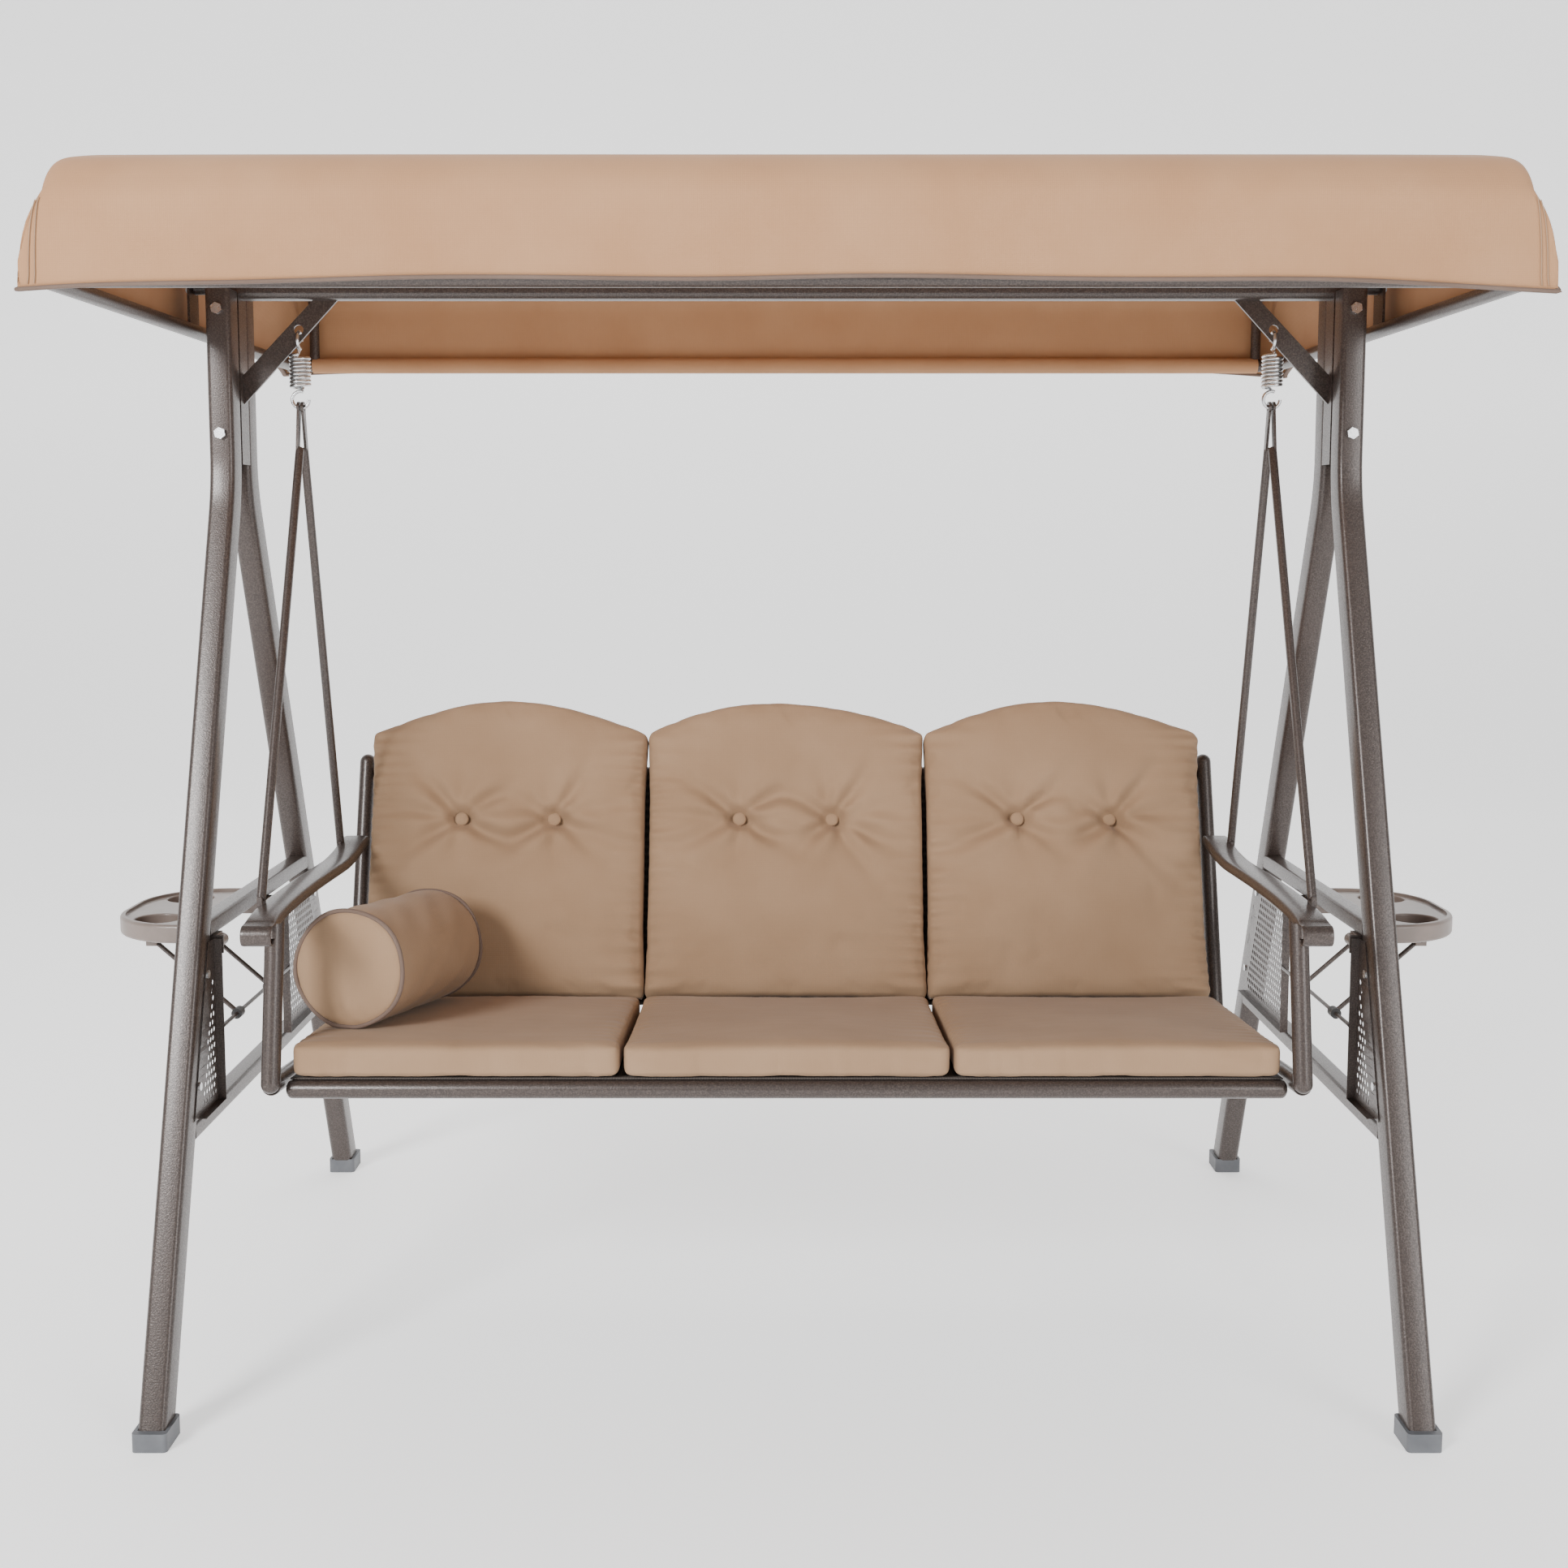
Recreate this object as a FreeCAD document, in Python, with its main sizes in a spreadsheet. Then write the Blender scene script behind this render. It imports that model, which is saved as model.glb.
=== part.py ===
import FreeCAD, Part
import Sketcher
import math
import os

os.makedirs("parts", exist_ok=True)
doc = FreeCAD.newDocument("patio_swing")
V = FreeCAD.Vector
X_AXIS, Y_AXIS, Z_AXIS = V(1, 0, 0), V(0, 1, 0), V(0, 0, 1)

# Three-seat patio swing: a steel A-frame at each end, a beam between them, a seat hung on two coil
# springs, a tilting canopy over it and a folding tray outside each end.
# Millimetres.  +Z up, -Y is the front, X runs along the beam.  The origin is on the floor under
# the middle of the beam.

# ---------------------------------------------------------------- sizes
SIZES = {
    # A-frame
    "side_x": 860, "leg_width": 38, "leg_depth": 48, "leg_wall": 1.5, "leg_round": 7,
    "front_foot": 500, "rear_foot": 614, "kink_height": 1305, "leg_top": 1602,
    "cap_height": 26, "cap_lip": 5, "cap_floor": 6,
    "post_depth": 40, "post_foot": 1340, "bolt_low": 1385, "bolt_high": 1572, "bolt_radius": 5,
    # beam and spring braces
    "beam_side": 40, "beam_height": 1612, "beam_wall": 2,
    "brace_low": 1433, "brace_high": 1478, "brace_in": 110, "brace_out": 148, "brace_thick": 6,
    "hook_x": 754, "hook_height": 1547, "hook_hole": 7.5,
    # side rails and perforated panels
    "rail_width": 30, "rail_height": 25, "rail_wall": 1.5, "upper_rail": 659, "lower_rail": 385,
    "panel_thick": 1.5, "panel_lap": 18, "panel_flange": 13, "panel_gap": 4,
    "open_front": 242, "open_rear": 125,
    # folding trays
    "tray_length": 294, "tray_depth": 142, "tray_thick": 28, "tray_round": 118, "tray_centre": 85,
    "tray_start": 873, "tray_top": 660, "cup_radius": 35, "cup_depth": 20, "cup_spacing": 156,
    "hinge_x": 840, "hinge_height": 633, "pin_radius": 4,
    "strut_x": 955, "strut_height": 624, "rod_x": 830, "rod_height": 512, "strut_radius": 3.5,
    "strut_front": 165, "strut_rear": 5,
    # seat
    "seat_half": 725, "arm_height": 690, "post_radius": 13.5, "rail_radius": 13.5,
    "seat_front": 345, "seat_rear": 142, "seat_height": 448, "rear_height": 408, "arm_width": 40,
    "arm_thick": 3,
    "back_lean": 18, "back_long": 433, "cushion_width": 466, "cushion_thick": 54,
    "back_cushion": 88, "bolster_radius": 88, "bolster_length": 300,
    # springs and hangers
    "coil_radius": 14, "wire_radius": 2.6, "coil_top": 1508, "coil_bottom": 1459,
    "ring_radius": 13, "hanger_radius": 6.5, "hanger_front": 333, "hanger_rear": 140,
    "hanger_foot": 692,
    # canopy
    "canopy_half": 937, "canopy_depth": 612, "canopy_hem": 1528, "canopy_eave": 1640,
    "canopy_crown": 1775, "fabric_thick": 1.5, "frame_radius": 11, "frame_height": 1545,
    "frame_inset": 20, "hoop_radius": 9, "canopy_round": 70, "tube_wall": 1.5,
}

sheet = doc.addObject("Spreadsheet::Sheet", "dims")
for row, (alias, value) in enumerate(SIZES.items(), start=1):
    sheet.set("A%d" % row, alias)
    sheet.set("B%d" % row, str(value))
    sheet.setAlias("B%d" % row, alias)
doc.recompute()


def size(alias):
    """The number in the cell with this alias."""
    return float(sheet.get(alias))


nodes = []


def keep(obj, label):
    """Marks obj as a finished sub-part with this label."""
    obj.Label = label
    nodes.append(obj)
    return obj


def bind(obj, **rules):
    """Binds properties of obj to expressions: Length='dims.a', or Placement_Base_x='dims.b'."""
    for name, rule in rules.items():
        obj.setExpression(name.replace("_", "."), rule)
    return obj


def computed(shape, label):
    """A sub-part whose shape is calculated from the sheet: swept, moulded or sewn pieces."""
    obj = doc.addObject("Part::Feature", label)
    obj.Shape = shape
    obj.Placement = shape.Placement
    return keep(obj, label)


def rod(start, end, radius):
    """A round bar between two points."""
    start, end = V(*start), V(*end)
    return Part.makeCylinder(radius, (end - start).Length, start, end - start)


def block(low, high):
    """A box between two opposite corners."""
    low, high = V(*low), V(*high)
    return Part.makeBox(high.x - low.x, high.y - low.y, high.z - low.z, low)


def bent(edges, radius):
    """A round bar swept along joined lines and arcs that run on from one another."""
    path = Part.Wire(edges)
    first = path.OrderedEdges[0]
    start = first.valueAt(first.FirstParameter)
    ring = Part.Wire(Part.makeCircle(radius, start, first.tangentAt(first.FirstParameter)))
    return path.makePipeShell([ring], True, False, 2)


SIDES = (("left", -1), ("right", 1))


# ---------------------------------------------------------------- PartDesign helpers
def body_plane(body, role):
    """The body's own origin plane: XY_Plane, XZ_Plane or YZ_Plane."""
    for feature in body.Origin.OriginFeatures:
        if feature.Role == role:
            return feature
    return None


def outline(body, name, role, corners):
    """A closed polygon sketch whose corner coordinates are all bound to the sheet."""
    sketch = body.newObject("Sketcher::SketchObject", name)
    sketch.AttachmentSupport = [(body_plane(body, role), "")]
    sketch.MapMode = "FlatFace"
    count = len(corners)
    for i in range(count):
        turn = 2 * math.pi * i / count
        after = 2 * math.pi * (i + 1) / count
        first = V(100 * math.cos(turn), 100 * math.sin(turn), 0)
        second = V(100 * math.cos(after), 100 * math.sin(after), 0)
        sketch.addGeometry(Part.LineSegment(first, second), False)
    for i in range(count):
        sketch.addConstraint(Sketcher.Constraint("Coincident", i, 2, (i + 1) % count, 1))
    for i, (across, up) in enumerate(corners):
        for kind, rule in (("DistanceX", across), ("DistanceY", up)):
            datum = sketch.evalExpression(rule) if isinstance(rule, str) else rule
            datum = float(getattr(datum, "Value", datum))
            number = sketch.addConstraint(Sketcher.Constraint(kind, -1, 1, i, 1, datum))
            if isinstance(rule, str):
                sketch.setExpression("Constraints[%d]" % number, rule)
    return sketch


def add_pad(body, sketch, length, name, middle=True, backward=False):
    """Pads a sketch by a bound length, both ways from its plane or one way only."""
    pad = body.newObject("PartDesign::Pad", name)
    pad.Profile = sketch
    pad.Midplane = middle
    pad.Reversed = backward
    pad.setExpression("Length", length)
    return pad


def cut_pocket(body, sketch, length, name):
    """Pockets a sketch by a bound length, both ways from its plane."""
    pocket = body.newObject("PartDesign::Pocket", name)
    pocket.Profile = sketch
    pocket.Midplane = True
    pocket.setExpression("Length", length)
    return pocket


def hole_row(body, name, role, centres, radius):
    """A sketch of circles with bound centres and one bound radius."""
    sketch = body.newObject("Sketcher::SketchObject", name)
    sketch.AttachmentSupport = [(body_plane(body, role), "")]
    sketch.MapMode = "FlatFace"
    for i, (across, up) in enumerate(centres):
        sketch.addGeometry(Part.Circle(V(10 + 40 * i, 10, 0), Z_AXIS, 3), False)
        for kind, rule in (("DistanceX", across), ("DistanceY", up)):
            datum = sketch.evalExpression(rule) if isinstance(rule, str) else rule
            datum = float(getattr(datum, "Value", datum))
            number = sketch.addConstraint(Sketcher.Constraint(kind, -1, 1, i, 3, datum))
            if isinstance(rule, str):
                sketch.setExpression("Constraints[%d]" % number, rule)
        number = sketch.addConstraint(Sketcher.Constraint("Radius", i, 3.0))
        sketch.setExpression("Constraints[%d]" % number, radius)
    return sketch


# ---------------------------------------------------------------- legs
# Each leg is one bent rectangular tube: vertical at the top, then splayed to its foot.
HALF = "dims.leg_depth / 2"
TOP_Y = "(dims.post_depth + dims.leg_depth) / 2"


def leg(label, side, front):
    """One leg tube, standing in its foot cap, with its two bolt holes."""
    sign = "-" if front else ""
    foot = "dims.front_foot" if front else "dims.rear_foot"
    foot_y = "%s(%s)" % (sign, foot)
    top_y = "%s(%s)" % (sign, TOP_Y)
    slope = "(%s - %s) / dims.kink_height" % (top_y, foot_y)
    low = "dims.cap_floor"

    def ring(inset, bottom, top):
        """The tube's outline, or its bore, with the walls inset by the given rule."""
        near = "- %s + %s" % (HALF, inset)
        far = "+ %s - %s" % (HALF, inset)
        start = "%s + %s * %s" % (foot_y, slope, bottom)
        return [
            ("%s %s" % (start, near), bottom), ("%s %s" % (start, far), bottom),
            ("%s %s" % (top_y, far), "dims.kink_height"), ("%s %s" % (top_y, far), top),
            ("%s %s" % (top_y, near), top), ("%s %s" % (top_y, near), "dims.kink_height"),
        ]

    body = doc.addObject("PartDesign::Body", label)
    skin = add_pad(body, outline(body, label + "_line", "YZ_Plane", ring("0", low, "dims.leg_top")),
                   "dims.leg_width", label + "_tube")
    doc.recompute()
    edges = []
    for number, edge in enumerate(skin.Shape.Edges, start=1):
        ends = [v.Point for v in edge.Vertexes]
        if len(ends) == 2 and abs(ends[0].x - ends[1].x) < 1e-6 and edge.Length > size("leg_depth") + 1:
            edges.append("Edge%d" % number)
    rounding = body.newObject("PartDesign::Fillet", label + "_round")
    rounding.Base = (skin, edges)
    rounding.setExpression("Radius", "dims.leg_round")
    bore = outline(body, label + "_bore", "YZ_Plane",
                   ring("dims.leg_wall", "(%s - 1)" % low, "(dims.leg_top - dims.leg_wall)"))
    cut_pocket(body, bore, "dims.leg_width - 2 * dims.leg_wall", label + "_hollow")
    holes = hole_row(body, label + "_holes", "XZ_Plane",
                     [(0, "dims.bolt_low"), (0, "dims.bolt_high")], "dims.bolt_radius + 0.2")
    cut_pocket(body, holes, "4 * (dims.post_depth + dims.leg_depth)", label + "_drilled")
    bind(body, Placement_Base_x="%d * dims.side_x" % side)
    return keep(body, label)


def leg_line(front, height):
    """The Y of a leg's centre line at a height."""
    sign = -1 if front else 1
    foot = size("front_foot") if front else size("rear_foot")
    top = (size("post_depth") + size("leg_depth")) / 2
    return sign * (foot + (top - foot) * height / size("kink_height"))


for side_name, side in SIDES:
    leg("front_leg_" + side_name, side, True)
    leg("rear_leg_" + side_name, side, False)

# Moulded caps: cups that the leg ends stand in.
caps = []
for side_name, side in SIDES:
    for end_name, front in (("front", True), ("rear", False)):
        width, depth = size("leg_width"), size("leg_depth")
        lip, tall = size("cap_lip"), size("cap_height")
        centre = leg_line(front, tall / 2)
        x = side * size("side_x")
        cup = block((x - width / 2 - lip, centre - depth / 2 - lip - 2, 0),
                    (x + width / 2 + lip, centre + depth / 2 + lip + 2, tall))
        cup = cup.makeFillet(6, [e for e in cup.Edges if abs(e.tangentAt(0).z) > 0.9])
        low_y, high_y = leg_line(front, size("cap_floor")), leg_line(front, tall + 2)
        corners = [V(x - width / 2, low_y - depth / 2, size("cap_floor")),
                   V(x - width / 2, low_y + depth / 2, size("cap_floor")),
                   V(x - width / 2, high_y + depth / 2, tall + 2),
                   V(x - width / 2, high_y - depth / 2, tall + 2)]
        socket = Part.Face(Part.makePolygon(corners + corners[:1])).extrude(V(width, 0, 0))
        caps.append(cup.cut(socket))
computed(Part.makeCompound(caps), "foot_caps")

# ---------------------------------------------------------------- beam, posts and spring braces
beam_length = "2 * (dims.side_x - dims.leg_width / 2)"
outer = bind(doc.addObject("Part::Box", "beam_outer"), Length=beam_length, Width="dims.beam_side",
             Height="dims.beam_side", Placement_Base_x="dims.leg_width / 2 - dims.side_x",
             Placement_Base_y="-dims.beam_side / 2",
             Placement_Base_z="dims.beam_height - dims.beam_side / 2")
inner = bind(doc.addObject("Part::Box", "beam_inner"), Length=beam_length + " + 2",
             Width="dims.beam_side - 2 * dims.beam_wall", Height="dims.beam_side - 2 * dims.beam_wall",
             Placement_Base_x="dims.leg_width / 2 - dims.side_x - 1",
             Placement_Base_y="dims.beam_wall - dims.beam_side / 2",
             Placement_Base_z="dims.beam_height - dims.beam_side / 2 + dims.beam_wall")
beam = doc.addObject("Part::Cut", "crossbeam")
beam.Base, beam.Tool = outer, inner
keep(beam, "crossbeam")

for side_name, side in SIDES:
    # The post is the short upright that both legs are bolted to; its stub carries the canopy.
    name = "post_" + side_name
    top = "dims.beam_height + dims.beam_side / 2 + 2"
    shell = bind(doc.addObject("Part::Box", name + "_shell"), Length="dims.leg_width",
                 Width="dims.post_depth", Height="%s - dims.post_foot" % top,
                 Placement_Base_x="%d * dims.side_x - dims.leg_width / 2" % side,
                 Placement_Base_y="-dims.post_depth / 2", Placement_Base_z="dims.post_foot")
    stub = bind(doc.addObject("Part::Cylinder", name + "_stub"), Radius="12",
                Height="dims.canopy_half - dims.frame_inset - dims.side_x - 4",
                Placement_Base_x="%d * dims.side_x" % side, Placement_Base_z="dims.beam_height")
    stub.Placement.Rotation = FreeCAD.Rotation(Y_AXIS, 90 * side)
    solid = doc.addObject("Part::MultiFuse", name + "_body")
    solid.Shapes = [shell, stub]
    cavity = bind(doc.addObject("Part::Box", name + "_cavity"), Length="dims.leg_width - 2 * dims.beam_wall",
                  Width="dims.post_depth - 2 * dims.beam_wall",
                  Height="dims.beam_height - dims.post_foot - 20",
                  Placement_Base_x="%d * dims.side_x - dims.leg_width / 2 + dims.beam_wall" % side,
                  Placement_Base_y="dims.beam_wall - dims.post_depth / 2",
                  Placement_Base_z="dims.post_foot - 1")
    cuts = [cavity]
    for cell in ("bolt_low", "bolt_high"):
        drill = bind(doc.addObject("Part::Cylinder", name + "_" + cell), Radius="dims.bolt_radius + 0.2",
                     Height="2 * dims.post_depth", Placement_Base_x="%d * dims.side_x" % side,
                     Placement_Base_y="dims.post_depth", Placement_Base_z="dims." + cell)
        drill.Placement.Rotation = FreeCAD.Rotation(X_AXIS, 90)
        cuts.append(drill)
    bore = bind(doc.addObject("Part::Cylinder", name + "_thread"), Radius="dims.bolt_radius",
                Height="dims.canopy_half", Placement_Base_x="%d * (dims.side_x + 25)" % side,
                Placement_Base_z="dims.beam_height")
    bore.Placement.Rotation = FreeCAD.Rotation(Y_AXIS, 90 * side)
    cuts.append(bore)
    voids = doc.addObject("Part::MultiFuse", name + "_voids")
    voids.Shapes = cuts
    post = doc.addObject("Part::Cut", name)
    post.Base, post.Tool = solid, voids
    keep(post, name)

    # A flat bar from the post up to the beam, with the hole that the spring hooks through.
    name = "brace_" + side_name
    face = "%d * (dims.side_x - dims.leg_width / 2" % side
    beam_low = "dims.beam_height - dims.beam_side / 2"
    body = doc.addObject("PartDesign::Body", name)
    corners = [(face + ")", "dims.brace_low"), (face + " - dims.brace_out)", beam_low),
               (face + " - dims.brace_in)", beam_low), (face + ")", "dims.brace_high")]
    add_pad(body, outline(body, name + "_line", "XZ_Plane", corners), "dims.brace_thick", name + "_bar")
    eye = hole_row(body, name + "_eye", "XZ_Plane",
                   [("%d * dims.hook_x" % side, "dims.hook_height")], "dims.hook_hole")
    cut_pocket(body, eye, "4 * dims.brace_thick", name + "_hole")
    keep(body, name)


def bolt(centre, axis, head, shaft_radius, shaft, head_radius, nut_at=None):
    """A hexagon-headed bolt: head outside the joint, shaft through it, and a nut if it has one."""
    axis = V(*axis)
    centre = V(*centre)
    side_vector = axis.cross(V(0.3, 0.5, 0.8)).normalize()
    other = axis.cross(side_vector)

    def hexagon(start, thick):
        corners = []
        for i in range(7):
            turn = math.pi * i / 3
            corners.append(start + side_vector * (head_radius * math.cos(turn))
                           + other * (head_radius * math.sin(turn)))
        return Part.Face(Part.makePolygon(corners)).extrude(axis * thick)

    shape = Part.makeCylinder(shaft_radius, shaft, centre, axis).fuse(hexagon(centre - axis * head, head))
    if nut_at is not None:
        shape = shape.fuse(hexagon(centre + axis * nut_at, head))
    return shape.removeSplitter()


# Two long bolts a side clamp front leg, post and rear leg together.
stack = size("post_depth") + 2 * size("leg_depth")
apex = []
for side_name, side in SIDES:
    for cell in ("bolt_low", "bolt_high"):
        apex.append(bolt((side * size("side_x"), -stack / 2, size(cell)), (0, 1, 0), 6,
                         size("bolt_radius"), stack + 9, 9, stack))
computed(Part.makeCompound(apex), "apex_bolts")

# ---------------------------------------------------------------- side rails and panels
def leg_face(front, height):
    """Rule for the Y of the leg face that looks into the side frame, at a height rule."""
    sign = "-" if front else ""
    foot = "dims.front_foot" if front else "dims.rear_foot"
    back = "+" if front else "-"
    return "%s(%s + (%s - %s) * (%s) / dims.kink_height) %s %s" % (
        sign, foot, TOP_Y, foot, height, back, HALF)


for side_name, side in SIDES:
    for level in ("upper", "lower"):
        name = "%s_rail_%s" % (level, side_name)
        middle = "dims.%s_rail" % level
        low, high = middle + " - dims.rail_height / 2", middle + " + dims.rail_height / 2"
        body = doc.addObject("PartDesign::Body", name)
        corners = [(leg_face(True, low), low), (leg_face(False, low), low),
                   (leg_face(False, high), high), (leg_face(True, high), high)]
        add_pad(body, outline(body, name + "_line", "YZ_Plane", corners), "dims.rail_width", name + "_bar")
        low, high = low + " + dims.rail_wall", high + " - dims.rail_wall"
        corners = [(leg_face(True, low) + " - 1", low), (leg_face(False, low) + " + 1", low),
                   (leg_face(False, high) + " + 1", high), (leg_face(True, high) + " - 1", high)]
        cut_pocket(body, outline(body, name + "_bore", "YZ_Plane", corners),
                   "dims.rail_width - 2 * dims.rail_wall", name + "_hollow")
        bind(body, Placement_Base_x="%d * (dims.side_x - 4)" % side)
        keep(body, name)
    # Perforated infill sheets lie on the inner faces of the legs; their open edges are flanged.
    for end_name, front in (("front", True), ("rear", False)):
        name = "panel_%s_%s" % (end_name, side_name)
        low = "(dims.lower_rail + dims.rail_height / 2 + dims.panel_gap)"
        high = "(dims.upper_rail - dims.rail_height / 2 - dims.panel_gap)"
        edge = "-dims.open_front" if front else "dims.open_rear"
        step = "-" if front else "+"
        lap = step + " dims.panel_lap"
        body = doc.addObject("PartDesign::Body", name)
        corners = [(edge, low), (leg_face(front, low) + lap, low),
                   (leg_face(front, high) + lap, high), (edge, high)]
        add_pad(body, outline(body, name + "_line", "YZ_Plane", corners), "dims.panel_thick",
                name + "_web", False, side > 0)
        thick = "dims.panel_thick"
        corners = [(edge, low), (leg_face(front, low), low), (leg_face(front, low), low + " + " + thick),
                   (edge + " " + step + " " + thick, low + " + " + thick),
                   (edge + " " + step + " " + thick, high), (edge, high)]
        add_pad(body, outline(body, name + "_edge", "YZ_Plane", corners), "dims.panel_flange",
                name + "_flange", False, side > 0)
        drilled = [("%s %s 9" % (leg_face(front, rule), step), rule)
                   for rule in ("(%s + 45)" % low, "(%s - 45)" % high)]
        holes = hole_row(body, name + "_fixings", "YZ_Plane", drilled, "3.2")
        cut_pocket(body, holes, "20", name + "_holes")
        bind(body, Placement_Base_x="%d * (dims.side_x - dims.leg_width / 2)" % side)
        keep(body, name)

panel_bolts = []
panel_low = size("lower_rail") + size("rail_height") / 2 + size("panel_gap")
panel_high = size("upper_rail") - size("rail_height") / 2 - size("panel_gap")
for side_name, side in SIDES:
    for front in (True, False):
        for height in (panel_low + 45, panel_high - 45):
            step = -1 if front else 1
            y = leg_line(front, height) - step * (size("leg_depth") / 2 - 9)
            x = side * (size("side_x") - size("leg_width") / 2 - size("panel_thick"))
            dome = Part.makeCylinder(6, 2.5, V(x - side * 2.5, y, height), V(side, 0, 0))
            tip = Part.makeCylinder(3, size("panel_thick") + 0.01, V(x, y, height), V(side, 0, 0))
            panel_bolts.append(dome.fuse(tip).removeSplitter())
computed(Part.makeCompound(panel_bolts), "panel_bolts")

# ---------------------------------------------------------------- folding trays
def d_outline(inset, low, thick):
    """The tray's plan, rounded at its two outer corners, as a slab; the inset trims every edge."""
    length = size("tray_length") / 2 - inset
    start, end = size("tray_start") + inset, size("tray_start") + size("tray_depth") - inset
    radius = size("tray_round") - inset
    near, far = -size("tray_centre") - length, -size("tray_centre") + length
    diagonal = radius * (1 - math.sqrt(0.5))
    edges = [
        Part.makeLine(V(start, near, low), V(end - radius, near, low)),
        Part.Arc(V(end - radius, near, low), V(end - diagonal, near + diagonal, low),
                 V(end, near + radius, low)).toShape(),
        Part.makeLine(V(end, near + radius, low), V(end, far - radius, low)),
        Part.Arc(V(end, far - radius, low), V(end - diagonal, far - diagonal, low),
                 V(end - radius, far, low)).toShape(),
        Part.makeLine(V(end - radius, far, low), V(start, far, low)),
        Part.makeLine(V(start, far, low), V(start, near, low)),
    ]
    return Part.Face(Part.Wire(edges)).extrude(V(0, 0, thick))


def mirrored(shape, side):
    """The shape itself for the right side, its mirror image for the left."""
    return shape if side > 0 else shape.mirror(V(0, 0, 0), X_AXIS)


hinge_x, hinge_z = size("hinge_x"), size("hinge_height")
tray_near = -size("tray_centre") - size("tray_length") / 2
tray_far = -size("tray_centre") + size("tray_length") / 2
strut_lines = (-size("strut_front"), size("strut_rear"))
tray_low = size("tray_top") - size("tray_thick")
rail_low = size("upper_rail") - size("rail_height") / 2

tray = d_outline(0, tray_low, size("tray_thick"))
# The long curved edge is rolled over at the top and the bottom; the edge beside the leg stays square.
rolled = [edge for edge in tray.Edges
          if edge.BoundBox.ZLength < 0.1 and edge.BoundBox.XMax > size("tray_start") + 1]
tray = tray.makeFillet(5, rolled)
tray = tray.cut(d_outline(8, size("tray_top") - 4, 10))
hollow = d_outline(4, tray_low - 1, size("tray_thick") - 7)
for step in (-1, 1):
    centre = V(size("tray_start") + size("tray_depth") * 0.52,
               -size("tray_centre") + step * size("cup_spacing") / 2, tray_low - 5)
    hollow = hollow.cut(Part.makeCylinder(size("cup_radius") + 3, 60, centre))
tray = tray.cut(hollow)
for step in (-1, 1):
    centre = V(size("tray_start") + size("tray_depth") * 0.52,
               -size("tray_centre") + step * size("cup_spacing") / 2,
               size("tray_top") - 4 - size("cup_depth"))
    tray = tray.cut(Part.makeCylinder(size("cup_radius"), 60, centre))
cup_rims = [edge for edge in tray.Edges
            if edge.BoundBox.ZLength < 0.1 and abs(edge.BoundBox.ZMin - size("tray_top") + 4) < 0.1
            and abs(edge.BoundBox.XLength - 2 * size("cup_radius")) < 0.2]
tray = tray.makeFillet(2.5, cup_rims)
for low_y, high_y in ((tray_near, tray_near + 34), (tray_far - 34, tray_far)):
    arm = block((hinge_x, low_y, hinge_z - 9), (size("tray_start") + 12, high_y, rail_low - 1.5))
    knuckle = Part.makeCylinder(9, high_y - low_y, V(hinge_x, low_y, hinge_z), Y_AXIS)
    lug = arm.fuse(knuckle).cut(block((hinge_x - 20, low_y - 1, rail_low - 1.5),
                                      (hinge_x + 20, high_y + 1, rail_low + 20)))
    tray = tray.fuse(lug)
for y in strut_lines:
    for step in (-1, 1):
        ear_y = y + step * 7
        ear = block((size("strut_x") - 8, ear_y - 2, size("strut_height") - 8),
                    (size("strut_x") + 8, ear_y + 2, tray_low + 2))
        tray = tray.fuse(ear)
for y in strut_lines:
    tray = tray.cut(Part.makeCylinder(2.9, 24, V(size("strut_x"), y - 12, size("strut_height")), Y_AXIS))
tray = tray.cut(Part.makeCylinder(size("pin_radius") + 0.4, 600, V(hinge_x, -400, hinge_z), Y_AXIS))
tray = tray.removeSplitter()

pins = []
plates = []
for y, inward in ((tray_near - 5.5, 1), (tray_far + 5.5, -1)):
    plate = block((hinge_x - 13, y - 1.5, hinge_z - 13), (hinge_x + 13, y + 1.5, rail_low))
    bore = Part.makeCylinder(size("pin_radius"), 20, V(hinge_x, y - 10, hinge_z), Y_AXIS)
    plates.append(plate.cut(bore))
    pin = Part.makeCylinder(size("pin_radius"), 36, V(hinge_x, y - inward * 1.5, hinge_z), V(0, inward, 0))
    head = Part.makeCylinder(7, 1.4, V(hinge_x, y - inward * 1.5, hinge_z), V(0, -inward, 0))
    pins.append(pin.fuse(head).removeSplitter())

# Two struts are welded to a cross rod that spans the gap between the flanges of the panels.
rod_start, rod_end = -size("open_front") + size("panel_thick") + 0.5, size("open_rear") - 0.5
struts = Part.makeCylinder(3, rod_end - rod_start, V(size("rod_x"), rod_start, size("rod_height")), Y_AXIS)
for y in strut_lines:
    struts = struts.fuse(rod((size("rod_x"), y, size("rod_height")),
                             (size("strut_x"), y, size("strut_height")), size("strut_radius")))
    for eye_radius, eye_length in ((4.6, 9.2), (2.5, 20)):
        start = V(size("strut_x"), y - eye_length / 2, size("strut_height"))
        struts = struts.fuse(Part.makeCylinder(eye_radius, eye_length, start, Y_AXIS))
knuckles = []
for y in strut_lines:
    grip = Part.makeCylinder(8, 18, V(size("rod_x"), y - 9, size("rod_height")), Y_AXIS)
    knuckles.append(grip.cut(struts))

for side_name, side in SIDES:
    computed(mirrored(tray, side), "tray_" + side_name)
    computed(mirrored(struts, side), "tray_struts_" + side_name)
    computed(mirrored(Part.makeCompound(knuckles), side), "strut_knuckles_" + side_name)
for group, label in ((plates, "hinge_plates"), (pins, "hinge_pins")):
    computed(Part.makeCompound([mirrored(item, side) for _, side in SIDES for item in group]), label)

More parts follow.
